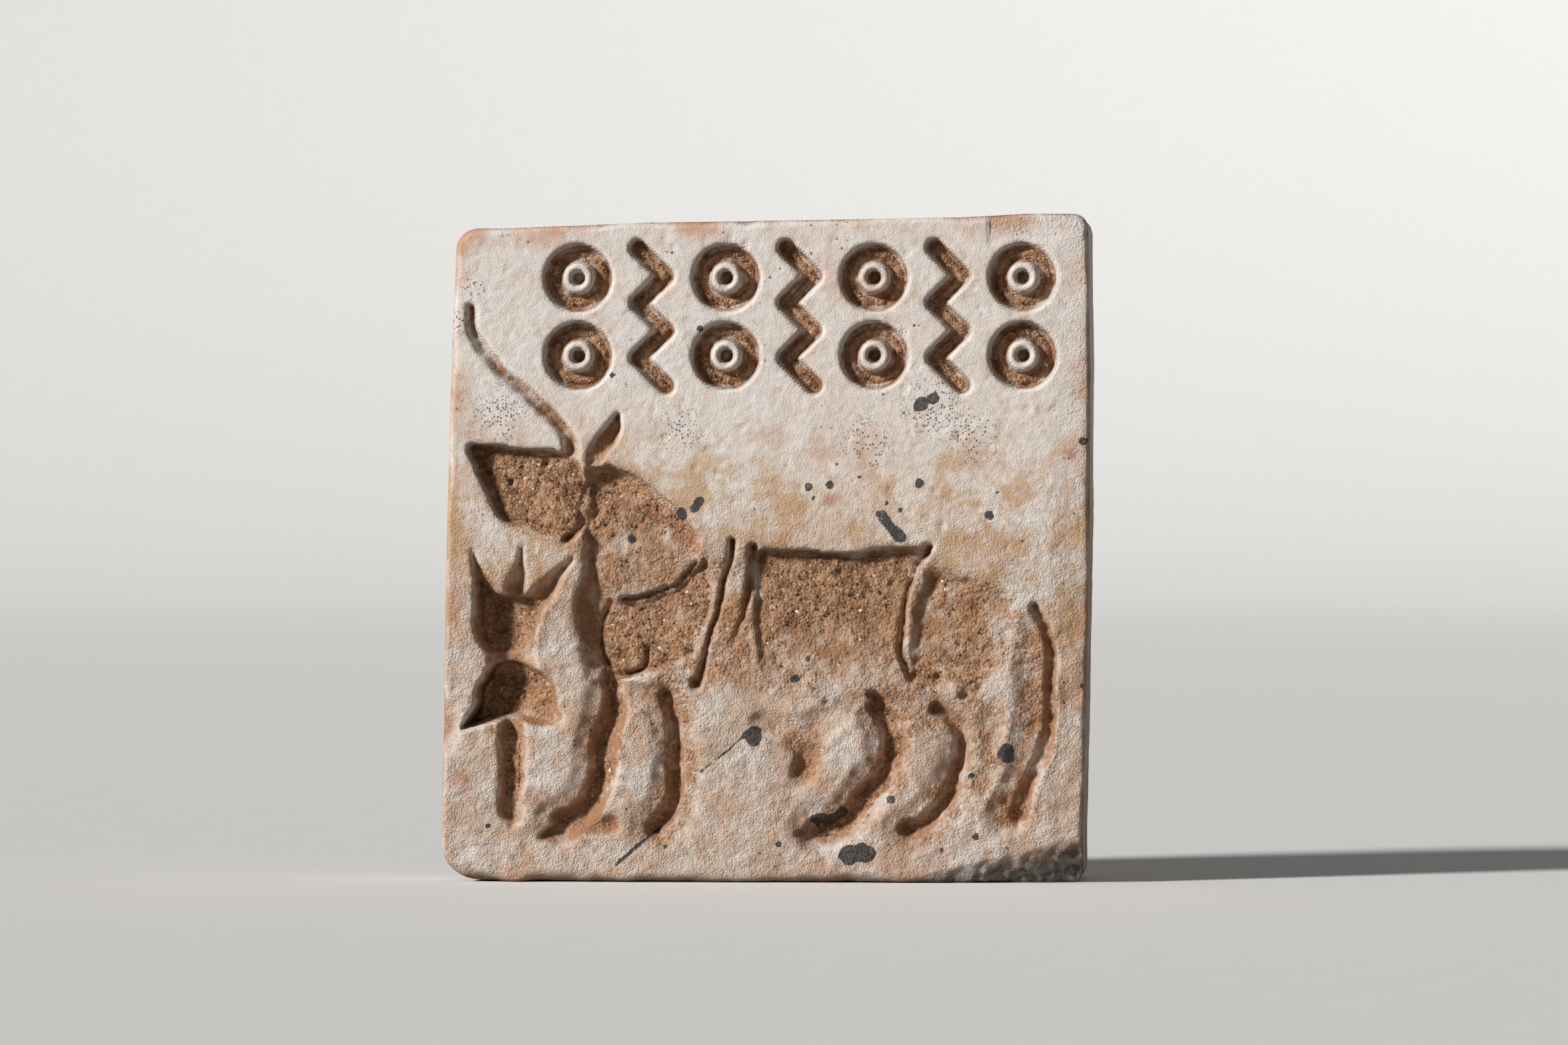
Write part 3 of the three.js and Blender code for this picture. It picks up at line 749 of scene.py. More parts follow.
def unit_net(bm, across, up):
    """Lays a square net of faces, and tells how far across and up each point lies, from 0 to 1."""
    made = bmesh.ops.create_grid(bm, x_segments=across, y_segments=up, size=0.5)["verts"]
    flat = np.array([(vert.co.x, vert.co.y) for vert in made])
    return made, (flat - flat.min(axis=0)) / (flat.max(axis=0) - flat.min(axis=0))


def sample(field, x, z):
    """Reads a field of the face at any points."""
    column = np.clip((x + SEAL_WIDTH / 2) / NET_PITCH, 0, NET_COLUMNS - INSIDE_LAST)
    row = np.clip(z / NET_PITCH, 0, NET_ROWS - INSIDE_LAST)
    return read_between(field, column, row)


def wander(points, size, seed):
    """A soft random number from -1 to 1 at each point in space."""
    shift = Vector((seed, seed * 2, seed * 3))
    return np.array([noise.noise(Vector(p) / size + shift) for p in points])


def read_points(mesh):
    points = np.empty(len(mesh.vertices) * 3)
    mesh.vertices.foreach_get("co", points)
    return points.reshape(-1, 3)


def write_points(mesh, points):
    """Puts points given in millimetres back into a mesh."""
    mesh.vertices.foreach_set("co", (points * MM).ravel())
    mesh.update()


def add_values(mesh, name, values):
    """Stores one number for each point of the mesh, for its material to read."""
    mesh.attributes.new(name, "FLOAT", "POINT").data.foreach_set("value", values.astype(np.float32))


print("fields for the mesh:", len(STONE_FIELDS))

# %% [markdown]
# The block is built flat and then worn: the carving is pressed into its face, its sides lose a little here
# and there, and its back edge is rubbed round. The rows of the sides are spread between the worn face and
# the worn back, so that no row is overtaken by the edge beside it.

# %% Block
FINE_NET = (264, 270)
COARSENESS = 3
SIDE_ROWS = 20
SIDE_FRONT_Y = FACE_Y + 1.7
SIDE_GAP = 0.2
SIDE_WEAR = 0.09
SIDE_WEAR_SHARE = 0.5
# Strength, size and seed of each wandering of the sides.
SIDE_WAVES = [(0.5, 2.5, 3), (0.35, 0.6, 7)]
SIDE_BAND = (0.9, 0.08)
BACK_WEAR = EDGE_WEAR * 1.3
BACK_UNEVENNESS = 0.05
BACK_WAVE = (3.0, 13)
ON_PLANE = 0.01


def lay_net(bm, across, up, y):
    """Lays a net over the outline of the block, at one depth. Returns its border."""
    made, share = unit_net(bm, across, up)
    for vert, x, z in zip(made, *on_block(share[:, 0], share[:, 1])):
        vert.co = (x, y, z)
    own = set(made)
    return [e for e in bm.edges if e.is_boundary and e.verts[0] in own]


def wear_block(mesh):
    """Presses the carving in, rubs the sides and the back, and stores the fields that colour follows."""
    points = read_points(mesh)
    front = points[:, 1] < FACE_Y + ON_PLANE
    rest = ~front
    x, z = points[:, 0], points[:, 2]
    depth = sample(carving, x, z)
    near_rim = sample(from_rim, x, z)
    points[front, 1] += depth[front]

    waves = sum(strength * wander(points[rest], size, seed) for strength, size, seed in SIDE_WAVES)
    inward = SIDE_WEAR * (SIDE_WEAR_SHARE + waves)[:, None]
    away = (points[rest] - (0, 0, SEAL_HEIGHT / 2)) * (1, 0, 1)
    share = np.max(np.abs(away) / (SEAL_WIDTH / 2, 1, SEAL_HEIGHT / 2), axis=1, keepdims=True)
    on_side = ease((share - SIDE_BAND[0]) / SIDE_BAND[1])
    distance = np.linalg.norm(away, axis=1, keepdims=True)
    points[rest] -= inward * on_side * away / np.maximum(distance, TINY)

    back = points[:, 1] > BACK_Y - ON_PLANE
    sides = rest & ~back
    share_back = (points[sides, 1] - SIDE_FRONT_Y) / (BACK_Y - SIDE_FRONT_Y)
    side_start = np.maximum(SIDE_FRONT_Y, FACE_Y + depth[sides] + SIDE_GAP)
    side_end = BACK_Y - BACK_WEAR - 2 * BACK_UNEVENNESS
    points[sides, 1] = side_start + (side_end - side_start) * share_back
    rub = BACK_WEAR * (1 - np.sqrt(1 - np.clip(1 - near_rim / BACK_WEAR, 0, 1) ** 2))
    points[back, 1] -= rub[back] + BACK_UNEVENNESS * (1 + wander(points[back], *BACK_WAVE))
    for name, (field, elsewhere) in STONE_FIELDS.items():
        add_values(mesh, name, np.where(front, sample(field, x, z), elsewhere))
    write_points(mesh, points)


def make_block():
    bm = bmesh.new()
    fine_border = lay_net(bm, *FINE_NET, FACE_Y)
    border = lay_net(bm, FINE_NET[0] // COARSENESS, FINE_NET[1] // COARSENESS, BACK_Y)
    row_step = (SIDE_FRONT_Y - BACK_Y) / SIDE_ROWS
    for _ in range(SIDE_ROWS):
        made = bmesh.ops.extrude_edge_only(bm, edges=border)["geom"]
        new_verts = [part for part in made if isinstance(part, bmesh.types.BMVert)]
        bmesh.ops.translate(bm, verts=new_verts, vec=(0, row_step, 0))
        own = set(new_verts)
        border = [part for part in made if isinstance(part, bmesh.types.BMEdge) and set(part.verts) <= own]
    bmesh.ops.bridge_loops(bm, edges=fine_border + border)
    bmesh.ops.recalc_face_normals(bm, faces=bm.faces)
    open_edges = sum(1 for e in bm.edges if not e.is_manifold)
    print("block: faces", len(bm.faces), "open edges", open_edges)
    piece = make_object(bm, "stone_block")
    wear_block(piece.data)
    return piece


block = make_block()

# %% [markdown]
# The boss on the back is a knob that was cut round by hand, drilled from side to side for a cord and
# grooved over its crown in line with the hole. It is spun from a profile, the hole and the groove are cut,
# and a voxel remesh then gives it the even, soft skin of worn stone.

# %% Boss
BOSS_RADIUS = 7.6
BOSS_HEIGHT = cad_box[1][1] / MM - BACK_Y
BOSS_CROWN = 1.7
BOSS_SHOULDER = 5.4
BOSS_SHOULDER_HEIGHT = 4.0
BOSS_FOOT = 0.8
BOSS_FOOT_BEND = 0.3
BOSS_FOOT_STEPS = 8
BOSS_SIDE_STEPS = 20
BOSS_ROOT = 0.8
BOSS_ROOT_TOP = 0.05
BOSS_SPIN = 96
BORE_RADIUS = 1.5
BORE_ABOVE_BLOCK = 2.5
BORE_SEGMENTS = 48
BORE_STAIN = (0.5, 0.6)
CROWN_GROOVE_WIDTH = 1.5
CROWN_GROOVE_DEPTH = 1.2
BOSS_VOXEL = 0.16
# Depth, size and seed of each wandering of the skin.
BOSS_WEAR = [(0.06, 2.2, 17), (0.03, 0.5, 23)]


def bezier(a, b, c, d, steps):
    """Points along a curve from a to d that leaves towards b and arrives from c."""
    for step in range(1, steps + 1):
        t = step / steps
        yield [
            (1 - t) ** 3 * p + 3 * (1 - t) ** 2 * t * q + 3 * (1 - t) * t * t * r + t**3 * s
            for p, q, r, s in zip(a, b, c, d)
        ]


def boss_profile():
    """Radius and height above the block, from the root inside the block up to the crown."""
    outer = BOSS_RADIUS + BOSS_FOOT
    side = ((BOSS_RADIUS, BOSS_FOOT), (BOSS_RADIUS, BOSS_SHOULDER_HEIGHT))
    top = ((BOSS_SHOULDER, BOSS_HEIGHT), (BOSS_CROWN, BOSS_HEIGHT))
    bend = ((BOSS_RADIUS + BOSS_FOOT_BEND, 0), (BOSS_RADIUS, BOSS_FOOT_BEND))
    profile = [(0, -BOSS_ROOT), (outer, -BOSS_ROOT), (outer, -BOSS_ROOT_TOP)]
    profile += bezier((outer, 0), *bend, side[0], BOSS_FOOT_STEPS)
    profile += bezier(*side, *top, BOSS_SIDE_STEPS)
    profile.append((0, BOSS_HEIGHT))
    return profile


def settle(piece):
    """Makes a piece's modifiers part of its mesh."""
    ready = piece.evaluated_get(bpy.context.evaluated_depsgraph_get())
    mesh = bpy.data.meshes.new_from_object(ready)
    piece.modifiers.clear()
    piece.data = mesh


def cut_away(piece, cutter):
    """Subtracts one mesh from another and throws the cutter away."""
    change = piece.modifiers.new("cut", "BOOLEAN")
    change.operation = "DIFFERENCE"
    change.solver = "EXACT"
    change.object = cutter
    settle(piece)
    bpy.data.objects.remove(cutter)


def wear_boss(mesh):
    """Rubs the boss a little smaller, unevenly, and stores the values that its material reads."""
    points = read_points(mesh) / MM
    normals = np.array([tuple(vert.normal) for vert in mesh.vertices])
    inward = sum(depth * (1 + wander(points, size, seed)) for depth, size, seed in BOSS_WEAR)
    points -= normals * inward[:, None]
    from_bore = np.hypot(points[:, 1] - BACK_Y - BORE_ABOVE_BLOCK, points[:, 2] - SEAL_HEIGHT / 2)
    in_bore = ease((BORE_RADIUS + BORE_STAIN[0] - from_bore) / BORE_STAIN[1])
    for name, (_, plain) in STONE_FIELDS.items():
        stain = (1 - plain) * in_bore if name == "hollow" else 0 * in_bore
        add_values(mesh, name, plain + stain)
    shade_smooth(mesh)
    write_points(mesh, points)


def make_boss():
    bm = bmesh.new()
    points = [Vector((radius, BACK_Y + height, 0)) * MM for radius, height in boss_profile()]
    spin_profile(bm, points, (0, 1, 0), (0, 0, 0), BOSS_SPIN)
    bmesh.ops.translate(bm, verts=bm.verts, vec=(0, 0, SEAL_HEIGHT / 2 * MM))
    piece = make_object(bm, "stone_boss")

    bm = bmesh.new()
    along_x = Matrix.Rotation(math.pi / 2, 4, "Y")
    place = Matrix.Translation(Vector((0, BACK_Y + BORE_ABOVE_BLOCK, SEAL_HEIGHT / 2)) * MM)
    bmesh.ops.create_cone(bm, cap_ends=True, segments=BORE_SEGMENTS, radius1=BORE_RADIUS * MM,
                          radius2=BORE_RADIUS * MM, depth=SEAL_WIDTH * MM, matrix=place @ along_x)
    cut_away(piece, make_object(bm, "bore_cutter"))

    bm = bmesh.new()
    size = Matrix.Diagonal((SEAL_WIDTH * MM, 2 * CROWN_GROOVE_DEPTH * MM, CROWN_GROOVE_WIDTH * MM, 1))
    crown = Matrix.Translation(Vector((0, BACK_Y + BOSS_HEIGHT, SEAL_HEIGHT / 2)) * MM)
    bmesh.ops.create_cube(bm, size=1, matrix=crown @ size)
    cut_away(piece, make_object(bm, "groove_cutter"))

    skin = piece.modifiers.new("skin", "REMESH")
    skin.mode = "VOXEL"
    skin.voxel_size = BOSS_VOXEL * MM
    settle(piece)
    wear_boss(piece.data)
    return piece


boss = make_boss()
print("boss: faces", len(boss.data.polygons))

# %% [markdown]
# Each cake of burial soil is a small net over its hollow. It keeps the faces where the soil stands proud of
# the stone, follows the stone's own depth, and gets a thin underside so that it is closed. Loose grains are
# strewn over it, each a ball with a few faces.

# %% Soil
SOIL_PITCH = 0.13
FEWEST_SQUARES = 4
SOIL_UNDERSIDE = 0.16
SOIL_EDGE = 0.5
SOIL_TAPER = 0.3
SOIL_FILL = 0.1
SOIL_FILL_FROM = 0.8
BARE = -0.05
HEAPS = [(0.1, rough(1.8, 67)), (0.05, rough(0.5, 61)), (0.035, clouds(0.16, 71))]
GRAINS_PER_SQUARE_MM = 9.0
GRAIN_RADIUS = (0.04, 0.09)
GRAIN_SINK = 0.2
FULL_TURN = 6.28


def soil_thickness(name, x, z):
    """How far the soil stands above the stone at each point. Below zero there is none."""
    level = coat_of[name] + SOIL_FILL * (sample(carving, x, z) - SOIL_FILL_FROM)
    loose = sum(height * sample(field, x, z) for height, field in HEAPS)
    return level + loose - SOIL_TAPER * (1 - ease(sample(inside_of[name], x, z) / SOIL_EDGE))


def strew_grains(bm, name, low, high, rng):
    """Scatters grains where the soil lies."""
    for _ in range(int(np.prod(high - low) * GRAINS_PER_SQUARE_MM)):
        at = low + (high - low) * rng.random(2)
        radius = GRAIN_RADIUS[0] + (GRAIN_RADIUS[1] - GRAIN_RADIUS[0]) * rng.random() ** 2
        thick = float(soil_thickness(name, at[:1], at[1:])[0])
        if thick < 0.0:
            continue
        depth = float(sample(carving, at[:1], at[1:])[0])
        place = Matrix.Translation((at[0], FACE_Y + depth - thick - GRAIN_SINK * radius, at[1]))
        turn = Matrix.Rotation(rng.random() * FULL_TURN, 4, "Y")
        turn = turn @ Matrix.Rotation(rng.random() * FULL_TURN, 4, "X")
        bmesh.ops.create_icosphere(bm, subdivisions=1, radius=radius, matrix=place @ turn)


def make_soil(name, seed):
    """One cake of soil: a net that follows the stone, cut to the soil's own outline and closed below."""
    low, high = soil_box(name)
    across, up = np.maximum(((high - low) / SOIL_PITCH).astype(int), FEWEST_SQUARES)
    bm = bmesh.new()
    made, share = unit_net(bm, int(across), int(up))
    x, z = (low + (high - low) * share).T
    thick = soil_thickness(name, x, z)
    y = FACE_Y + sample(carving, x, z) - thick
    for vert, *place in zip(made, x, y, z):
        vert.co = place
    bare = {vert for vert, here in zip(made, thick) if here < BARE}
    hidden = [face for face in bm.faces if all(vert in bare for vert in face.verts)]
    bmesh.ops.delete(bm, geom=hidden, context="FACES")
    bmesh.ops.recalc_face_normals(bm, faces=bm.faces)
    if sum(face.normal.y for face in bm.faces) > 0:
        bmesh.ops.reverse_faces(bm, faces=bm.faces)
    bmesh.ops.solidify(bm, geom=bm.faces[:], thickness=SOIL_UNDERSIDE)
    bmesh.ops.recalc_face_normals(bm, faces=bm.faces)
    strew_grains(bm, name, low, high, np.random.default_rng(seed))
    bmesh.ops.scale(bm, verts=bm.verts, vec=(MM, MM, MM))
    return make_object(bm, f"soil_cake_{name}")


soil_nodes = sorted(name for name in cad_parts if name.startswith("soil_in_"))
soils = {}
for soil_seed, soil_node in enumerate(soil_nodes):
    soils[soil_node] = make_soil(soil_node[len("soil_in_"):], soil_seed)
print("soil cakes:", len(soils), "faces:", sum(len(cake.data.polygons) for cake in soils.values()))

# %% [markdown]
# A finish is a tree of nodes. A few short helpers keep the trees readable: one adds a node and joins it up,
# one lays a colour over another, one does a sum and one turns a value into a soft mask. Colours are written
# as 0 to 255, as a screen shows them, and turned to the linear values that a shader takes.

# %% Helpers for materials


def paint(red, green, blue):
    """A colour as a shader takes it, from the values that a screen shows."""
    seen = np.array((red, green, blue)) / 255
    linear = np.where(seen <= 0.04045, seen / 12.92, ((seen + 0.055) / 1.055) ** 2.4)
    return (*linear.tolist(), 1)


def feed(tree, socket, value):
    """Joins another node's output to a socket, or sets the socket's own value."""
    if isinstance(value, bpy.types.NodeSocket):
        tree.links.new(value, socket)
    else:
        socket.default_value = value


def put(tree, kind, inputs=None, **settings):
    """Adds a node, sets its options, and feeds its inputs by name."""
    node = tree.nodes.new(kind)
    for option, value in settings.items():
        setattr(node, option, value)
    for name, value in (inputs or {}).items():
        feed(tree, next(s for s in node.inputs if name in (s.name, s.identifier) and s.enabled), value)
    return node


def lay_over(tree, mask, under, over):
    """Lays one colour over another where the mask is white."""
    colours = {"Factor_Float": mask, "A_Color": under, "B_Color": over}
    node = put(tree, "ShaderNodeMix", colours, data_type="RGBA")
    return next(s for s in node.outputs if s.identifier == "Result_Color")


def calculate(tree, operation, a, b, clamp=False):
    """Does one sum with two values."""
    node = put(tree, "ShaderNodeMath", operation=operation, use_clamp=clamp)
    feed(tree, node.inputs[0], a)
    feed(tree, node.inputs[1], b)
    return node.outputs[0]


def ramp(tree, value, low, high):
    """Turns a value into a soft mask that is 0 at the low end and 1 at the high end."""
    limits = {"Value": value, "From Min": low, "From Max": high}
    return put(tree, "ShaderNodeMapRange", limits, interpolation_type="SMOOTHSTEP").outputs["Result"]


def add_relief(tree, shader, height, distance, strength):
    """Lets a height tilt the light, as relief too fine for the mesh."""
    bump = put(tree, "ShaderNodeBump", {"Height": height, "Distance": distance, "Strength": strength})
    tree.links.new(bump.outputs["Normal"], shader.inputs["Normal"])


def new_material(name, roughness):
    """A plain material, its node tree, its shader, and the position that its patterns read."""
    material = bpy.data.materials.new(name)
    material.use_nodes = True
    tree = material.node_tree
    shader = tree.nodes["Principled BSDF"]
    shader.inputs["Roughness"].default_value = roughness
    return material, tree, shader, put(tree, "ShaderNodeTexCoord").outputs["Object"]


print("a middle grey as a shader takes it:", round(paint(128, 128, 128)[0], 3))

# %% [markdown]
# Two effects are needed by several finishes: soft patches of colour, and a grain of small lumps. Each is a
# node group with its own sockets, built once and placed in each material with that material's own values.

# %% Shared node groups
CLOUD_DETAIL = 4.0
CLOUD_ROUGHNESS = 0.62


def new_group(name, inputs, outputs):
    """An empty group whose sockets are named and typed as given. Returns it with its two ends."""
    group = bpy.data.node_groups.new(name, "ShaderNodeTree")
    for in_out, sockets in (("INPUT", inputs), ("OUTPUT", outputs)):
        for socket_name, kind in sockets.items():
            group.interface.new_socket(socket_name, in_out=in_out, socket_type=f"NodeSocket{kind}")
    return group, group.nodes.new("NodeGroupInput").outputs, group.nodes.new("NodeGroupOutput").inputs


def make_patches_group():
    """Soft patches: a mask that is white where the clouds are thicker than the low and high limits."""
    inputs = {"Position": "Vector", "Scale": "Float", "Low": "Float", "High": "Float"}
    group, given, result = new_group("soft patches", inputs, {"Mask": "Float"})
    cloud = put(group, "ShaderNodeTexNoise", {"Vector": given["Position"], "Scale": given["Scale"],
                                              "Detail": CLOUD_DETAIL, "Roughness": CLOUD_ROUGHNESS})
    group.links.new(ramp(group, cloud.outputs["Fac"], given["Low"], given["High"]), result["Mask"])
    return group


def make_lumps_group():
    """Small lumps side by side: the height of each lump and a tone of its own."""
    inputs = {"Position": "Vector", "Scale": "Float"}
    group, given, result = new_group("small lumps", inputs, {"Height": "Float", "Tone": "Float"})
    cells = put(group, "ShaderNodeTexVoronoi", {"Vector": given["Position"], "Scale": given["Scale"]})
    height = calculate(group, "SUBTRACT", 1.0, cells.outputs["Distance"], clamp=True)
    group.links.new(height, result["Height"])
    tone = put(group, "ShaderNodeSeparateColor", {"Color": cells.outputs["Color"]})
    group.links.new(tone.outputs[0], result["Tone"])
    return group


patches_group = make_patches_group()
lumps_group = make_lumps_group()


def patches(tree, position, scale, low, high):
    given = {"Position": position, "Scale": scale, "Low": low, "High": high}
    return put(tree, "ShaderNodeGroup", given, node_tree=patches_group).outputs["Mask"]


def lumps(tree, position, scale):
    given = {"Position": position, "Scale": scale}
    node = put(tree, "ShaderNodeGroup", given, node_tree=lumps_group)
    return node.outputs["Height"], node.outputs["Tone"]


print("node groups:", patches_group.name, "and", lumps_group.name)

# %% [markdown]
# Fired soapstone is cream white with a skin that has taken up colour from the ground: peach along the
# edges, ochre patches across the middle, brown in the cuts, dust round them, pinpoint black specks, and the
# dark mineral spots. Dark brown painted shade lies in the deepest cuts and in creases, and chalk painted
# highlight on crests. The layers are laid over each other from the most even to the most local.
#
# Their numbers are kept in three tables. Patches have the scale of their clouds, and how thick these are
# where a patch begins and where it is full. Limits are the values where a soft mask begins and where it is
# full, with heights in metres and depths in millimetres. The last table is the strength of each layer.

# %% Colours and numbers of the stone
CREAM = paint(221, 203, 186)
CHALK = paint(232, 224, 216)
PEACH = paint(208, 164, 134)
OCHRE = paint(196, 156, 112)
TAN = paint(186, 150, 122)
EARTH = paint(174, 132, 100)
# Painted shade: the dark brown laid in the deepest hollows and in creases.
PAINTED_SHADE_BROWN = paint(82, 55, 38)
DUST = paint(174, 128, 93)
MINERAL = paint(50, 49, 52)
MINERAL_PALE = paint(104, 98, 94)
ABRADED = paint(102, 98, 95)
ABRADED_PALE = paint(168, 162, 156)
RUST = paint(184, 106, 66)

PATCHES = {
    "chalk": (260, 0.4, 0.66), "peach": (170, 0.5, 0.72), "rim": (300, 0.42, 0.66),
    "mottling": (2300, 0.46, 0.64), "blotches": (640, 0.5, 0.6), "low stain": (420, 0.4, 0.66),
    "ochre band": (620, 0.46, 0.62), "ochre": (900, 0.58, 0.7), "earth": (900, 0.4, 0.6),
    "dust": (460, 0.4, 0.58), "few specks": (210, 0.5, 0.6), "abraded": (1900, 0.42, 0.62),
    "rust": (1500, 0.3, 0.6), "mineral": (3400, 0.5, 0.7), "ragged": (3000, 0.3, 0.7),
}
LIMITS = {
    "upper face": (0.018, 0.026), "rim": (1.7, 0.1), "low stain": (0.021, 0.014),
    "band from": (0.008, 0.016), "band to": (0.027, 0.021), "cut": (0.2, 0.75), "dust": (0.08, 0.5),
    "grains": (0.3, 0.7), "deep": (1.3, 2.1), "crease": (-0.03, -0.3), "crest": (0.03, 0.3),
    "few tones": (0.93, 0.97), "few specks": (0.6, 0.8), "many tones": (0.5, 0.55),
    "many specks": (0.5, 0.7), "spot": (0.55, 0.75), "rough below": (0.024, 0.013),
    "rough cut": (0.1, 0.3),
}
STRENGTH = {
    "upper chalk": 0.9, "clean above": 0.65, "peach": 0.5, "mottling": 0.36, "blotches": 0.5,
    "low stain": 0.45, "scattered ochre": 0.6, "ochre": 0.7, "grains": 0.7, "deep": 0.8, "crease": 0.75,
    "crest": 0.7, "specks": 0.85, "abraded": 0.88, "rust": 0.7, "ragged": 0.3, "spot": 0.92,
    "dust relief": 1.1, "roughness": 0.7,
}
LEAST_EARTH = 0.3
LEAST_GRAINS = 0.3
LEAST_ROUGHNESS = 0.3
GRAIN_SCALE = 5000
FEW_SPECKS_SCALE = 3600
MANY_SPECKS_SCALE = 6800
PIT_SCALE = 2400
PIT_SHARE = 0.35
# Scale, detail and roughness of each noise in the relief, and its share of the whole.
RELIEF = [(9500, 2.0, 0.6, 1.3), (4200, 3.0, 0.7, 1.0), (1100, 2.0, 0.5, 0.7)]
RELIEF_HEIGHT = 0.00013
RELIEF_STRENGTH = 0.85
STONE_ROUGHNESS = 0.78
STONE_SHEEN = 0.3
print("kinds of patches on the stone:", len(PATCHES))

# %% Stone finish


def make_stone():
    """The stone: an even ground, stains, dirt of the cuts, painted shade and highlight, specks, worn marks,
    spots, and then the relief.
    """
    material, tree, shader, position = new_material("fired soapstone", STONE_ROUGHNESS)
    times = partial(calculate, tree, "MULTIPLY")
    plus = partial(calculate, tree, "ADD")
    most = partial(calculate, tree, "MAXIMUM")
    lay = partial(lay_over, tree)

    def field(name):
        return put(tree, "ShaderNodeAttribute", attribute_name=name).outputs["Fac"]

    def patch(name):
        return patches(tree, position, *PATCHES[name])

    def within(name, value):
        return ramp(tree, value, *LIMITS[name])

    def some(name, *masks):
        """A mask of the named strength, where all the given masks are white."""
        mask = STRENGTH[name]
        for other in masks:
            mask = times(mask, other)
        return mask

    height = put(tree, "ShaderNodeSeparateXYZ", {"Vector": position}).outputs["Z"]
    hollow_depth = field("hollow")
    crest_height = field("crest")
    upper_face = within("upper face", height)
    lower_face = calculate(tree, "SUBTRACT", 1.0, some("clean above", upper_face))

    colour = lay(most(patch("chalk"), some("upper chalk", upper_face)), CREAM, CHALK)
    rim = times(within("rim", field("rim")), patch("rim"))
    colour = lay(most(some("peach", patch("peach")), rim), colour, PEACH)
    colour = lay(some("mottling", patch("mottling"), lower_face), colour, TAN)
    colour = lay(some("blotches", patch("blotches"), lower_face), colour, PEACH)
    colour = lay(some("low stain", within("low stain", height), patch("low stain")), colour, TAN)
    band = times(within("band from", height), within("band to", height))
    ochre = most(times(band, patch("ochre band")), some("scattered ochre", patch("ochre")))
    colour = lay(some("ochre", ochre), colour, OCHRE)

    earth = times(within("cut", hollow_depth), plus(LEAST_EARTH, patch("earth")), clamp=True)
    colour = lay(earth, colour, EARTH)
    grain_height, grain_tone = lumps(tree, position, GRAIN_SCALE)
    dust = times(times(within("dust", field("dusty")), patch("dust")), lower_face)
    grains = plus(LEAST_GRAINS, some("grains", within("grains", grain_tone)))
    colour = lay(times(dust, grains), colour, DUST)
    # Painted shade: dark brown where the hollows are deepest.
    colour = lay(some("deep", within("deep", hollow_depth)), colour, PAINTED_SHADE_BROWN)
    # Painted shade: dark brown in the creases.
    colour = lay(some("crease", within("crease", crest_height)), colour, PAINTED_SHADE_BROWN)
    # Painted highlight: chalk on the convex crests.
    colour = lay(some("crest", within("crest", crest_height)), colour, CHALK)

    speck, tone = lumps(tree, position, FEW_SPECKS_SCALE)
    few = times(times(within("few tones", tone), within("few specks", speck)), patch("few specks"))
    speck, tone = lumps(tree, position, MANY_SPECKS_SCALE)
    many = times(times(within("many tones", tone), within("many specks", speck)), field("speckled"))
    colour = lay(some("specks", most(few, many)), colour, MINERAL)
    abraded = lay(patch("abraded"), ABRADED, ABRADED_PALE)
    colour = lay(some("abraded", field("abraded")), colour, abraded)
    colour = lay(some("rust", field("rust"), patch("rust")), colour, RUST)
    mineral = lay(patch("mineral"), MINERAL, MINERAL_PALE)
    spot = plus(field("spot"), some("ragged", patch("ragged")))
    colour = lay(some("spot", within("spot", spot)), colour, mineral)
    tree.links.new(colour, shader.inputs["Base Color"])

    relief = times(PIT_SHARE, lumps(tree, position, PIT_SCALE)[0])
    for scale, detail, roughness, share in RELIEF:
        settings = {"Vector": position, "Scale": scale, "Detail": detail, "Roughness": roughness}
        relief = plus(relief, times(share, put(tree, "ShaderNodeTexNoise", settings).outputs["Fac"]))
    relief = plus(relief, times(grain_height, some("dust relief", dust)))
    grainy = most(within("rough below", height), within("rough cut", hollow_depth))
    relief = times(relief, plus(LEAST_ROUGHNESS, some("roughness", grainy)))
    add_relief(tree, shader, relief, RELIEF_HEIGHT, RELIEF_STRENGTH)
    shader.inputs["Specular IOR Level"].default_value = STONE_SHEEN
    return material


stone_finish = make_stone()
for piece in (block, boss):
    piece.data.materials.clear()
    piece.data.materials.append(stone_finish)
    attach(piece, "root")
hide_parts("stone")
print("stone finish on", block.name, "and", boss.name)

# %% [markdown]
# The soil is a mixture of brown dust and sand grains, some of them pale quartz. The lumps of the shared
# group are the grains here, and each takes the tone of its own lump.

# %% Soil finish
SOIL = paint(168, 127, 95)
SOIL_DARK = paint(128, 91, 64)
SAND = paint(214, 182, 150)
QUARTZ = paint(232, 216, 198)
SOIL_GRAIN_SCALE = 7000
SOIL_PATCHES = (900, 0.38, 0.62)
SAND_TONES = (0.45, 1.0)
SAND_STRENGTH = 0.45
QUARTZ_TONES = (0.992, 0.996)
SOIL_GRAIN_HEIGHT = 0.00009
SOIL_GRAIN_STRENGTH = 0.8
SOIL_SHEEN = 0.25


def make_soil_finish():
    material, tree, shader, position = new_material("sandy soil", 0.95)
    height, tone = lumps(tree, position, SOIL_GRAIN_SCALE)
    sand = calculate(tree, "MULTIPLY", ramp(tree, tone, *SAND_TONES), SAND_STRENGTH)
    colour = lay_over(tree, patches(tree, position, *SOIL_PATCHES), SOIL, SOIL_DARK)
    colour = lay_over(tree, sand, colour, SAND)
    colour = lay_over(tree, ramp(tree, tone, *QUARTZ_TONES), colour, QUARTZ)
    tree.links.new(colour, shader.inputs["Base Color"])
    add_relief(tree, shader, height, SOIL_GRAIN_HEIGHT, SOIL_GRAIN_STRENGTH)
    shader.inputs["Specular IOR Level"].default_value = SOIL_SHEEN
    return material


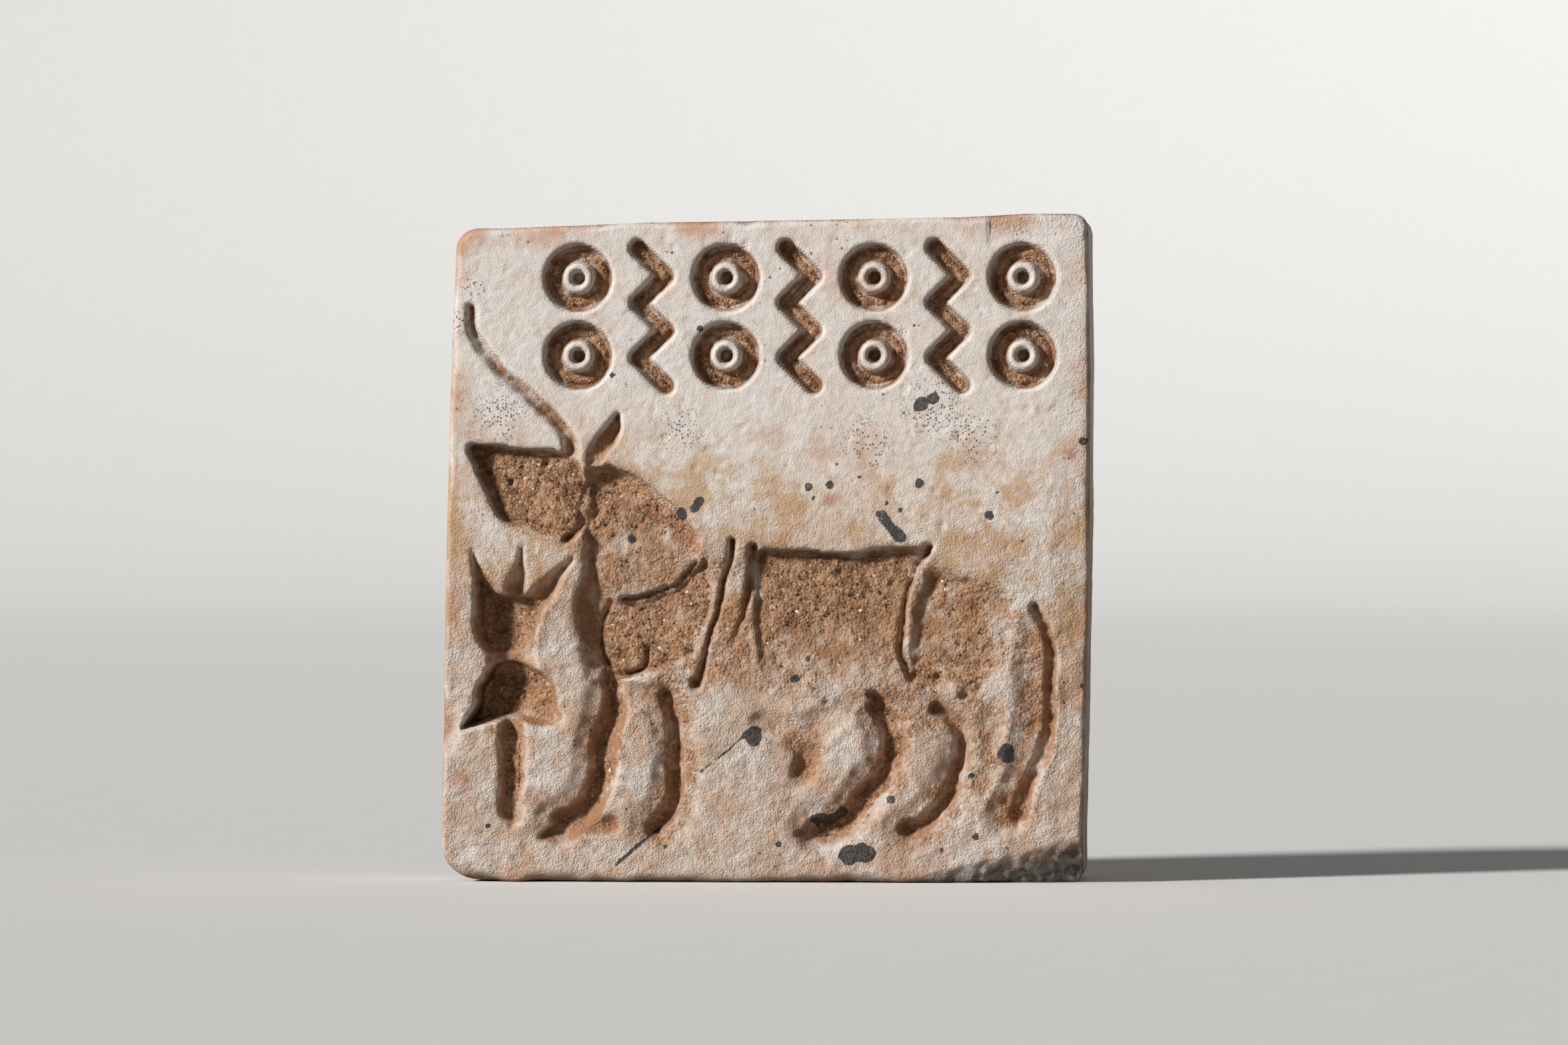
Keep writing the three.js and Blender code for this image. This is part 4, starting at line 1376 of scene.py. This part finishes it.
soil_finish = make_soil_finish()
for soil_node, cake in soils.items():
    cake.data.materials.append(soil_finish)
    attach(cake, "root")
    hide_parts(soil_node)
print("soil finish on", len(soils), "cakes")

# %% [markdown]
# The floor is plain pale card. The camera sees it paler than it is for the light that it throws back, so
# that it doesn't brighten the seal from below. The light is a soft lamp at the upper left that rakes across
# the face, as one lights a carving so that it reads, and an even pale sky that fills the shadows.

# %% Floor finish and light
CARD = paint(240, 238, 235)
CARD_FIBRE = paint(205, 203, 200)
CARD_BOUNCE = paint(160, 158, 155)
FIBRE_PATCHES = (300, 0.3, 0.7)
FIBRE_STRENGTH = 0.04
KEY_FROM = Vector((-1.0, -0.74, 0.58)).normalized()
KEY_DISTANCE = 0.6
KEY_SOFTNESS = math.radians(9)
KEY_LEVEL = 0.68
SKY_LEVEL = 0.14


def make_card():
    material, tree, shader, position = new_material("pale card", 0.9)
    fibre = calculate(tree, "MULTIPLY", patches(tree, position, *FIBRE_PATCHES), FIBRE_STRENGTH)
    colour = lay_over(tree, fibre, CARD, CARD_FIBRE)
    seen = put(tree, "ShaderNodeLightPath").outputs["Is Camera Ray"]
    tree.links.new(lay_over(tree, seen, CARD_BOUNCE, colour), shader.inputs["Base Color"])
    return material


def light_scene():
    """Sets the lamp so that a face which looks at the camera gets the key level, and adds the sky."""
    lamp = bpy.data.lights.new("key", "SUN")
    lamp.angle = KEY_SOFTNESS
    lamp.energy = KEY_LEVEL * math.pi / -KEY_FROM.y
    key = bpy.data.objects.new("key", lamp)
    bpy.context.scene.collection.objects.link(key)
    key.location = Vector((0, FACE_Y, SEAL_HEIGHT / 2)) * MM + KEY_FROM * KEY_DISTANCE
    key.rotation_euler = (-KEY_FROM).to_track_quat("-Z", "Y").to_euler()
    world = bpy.data.worlds.new("studio")
    world.use_nodes = True
    sky = world.node_tree.nodes["Background"]
    sky.inputs["Color"].default_value = (1.0, 1.0, 1.0, 1.0)
    sky.inputs["Strength"].default_value = SKY_LEVEL
    bpy.context.scene.world = world


floor.data.materials.append(make_card())
light_scene()
print("key level:", KEY_LEVEL, "sky level:", SKY_LEVEL)
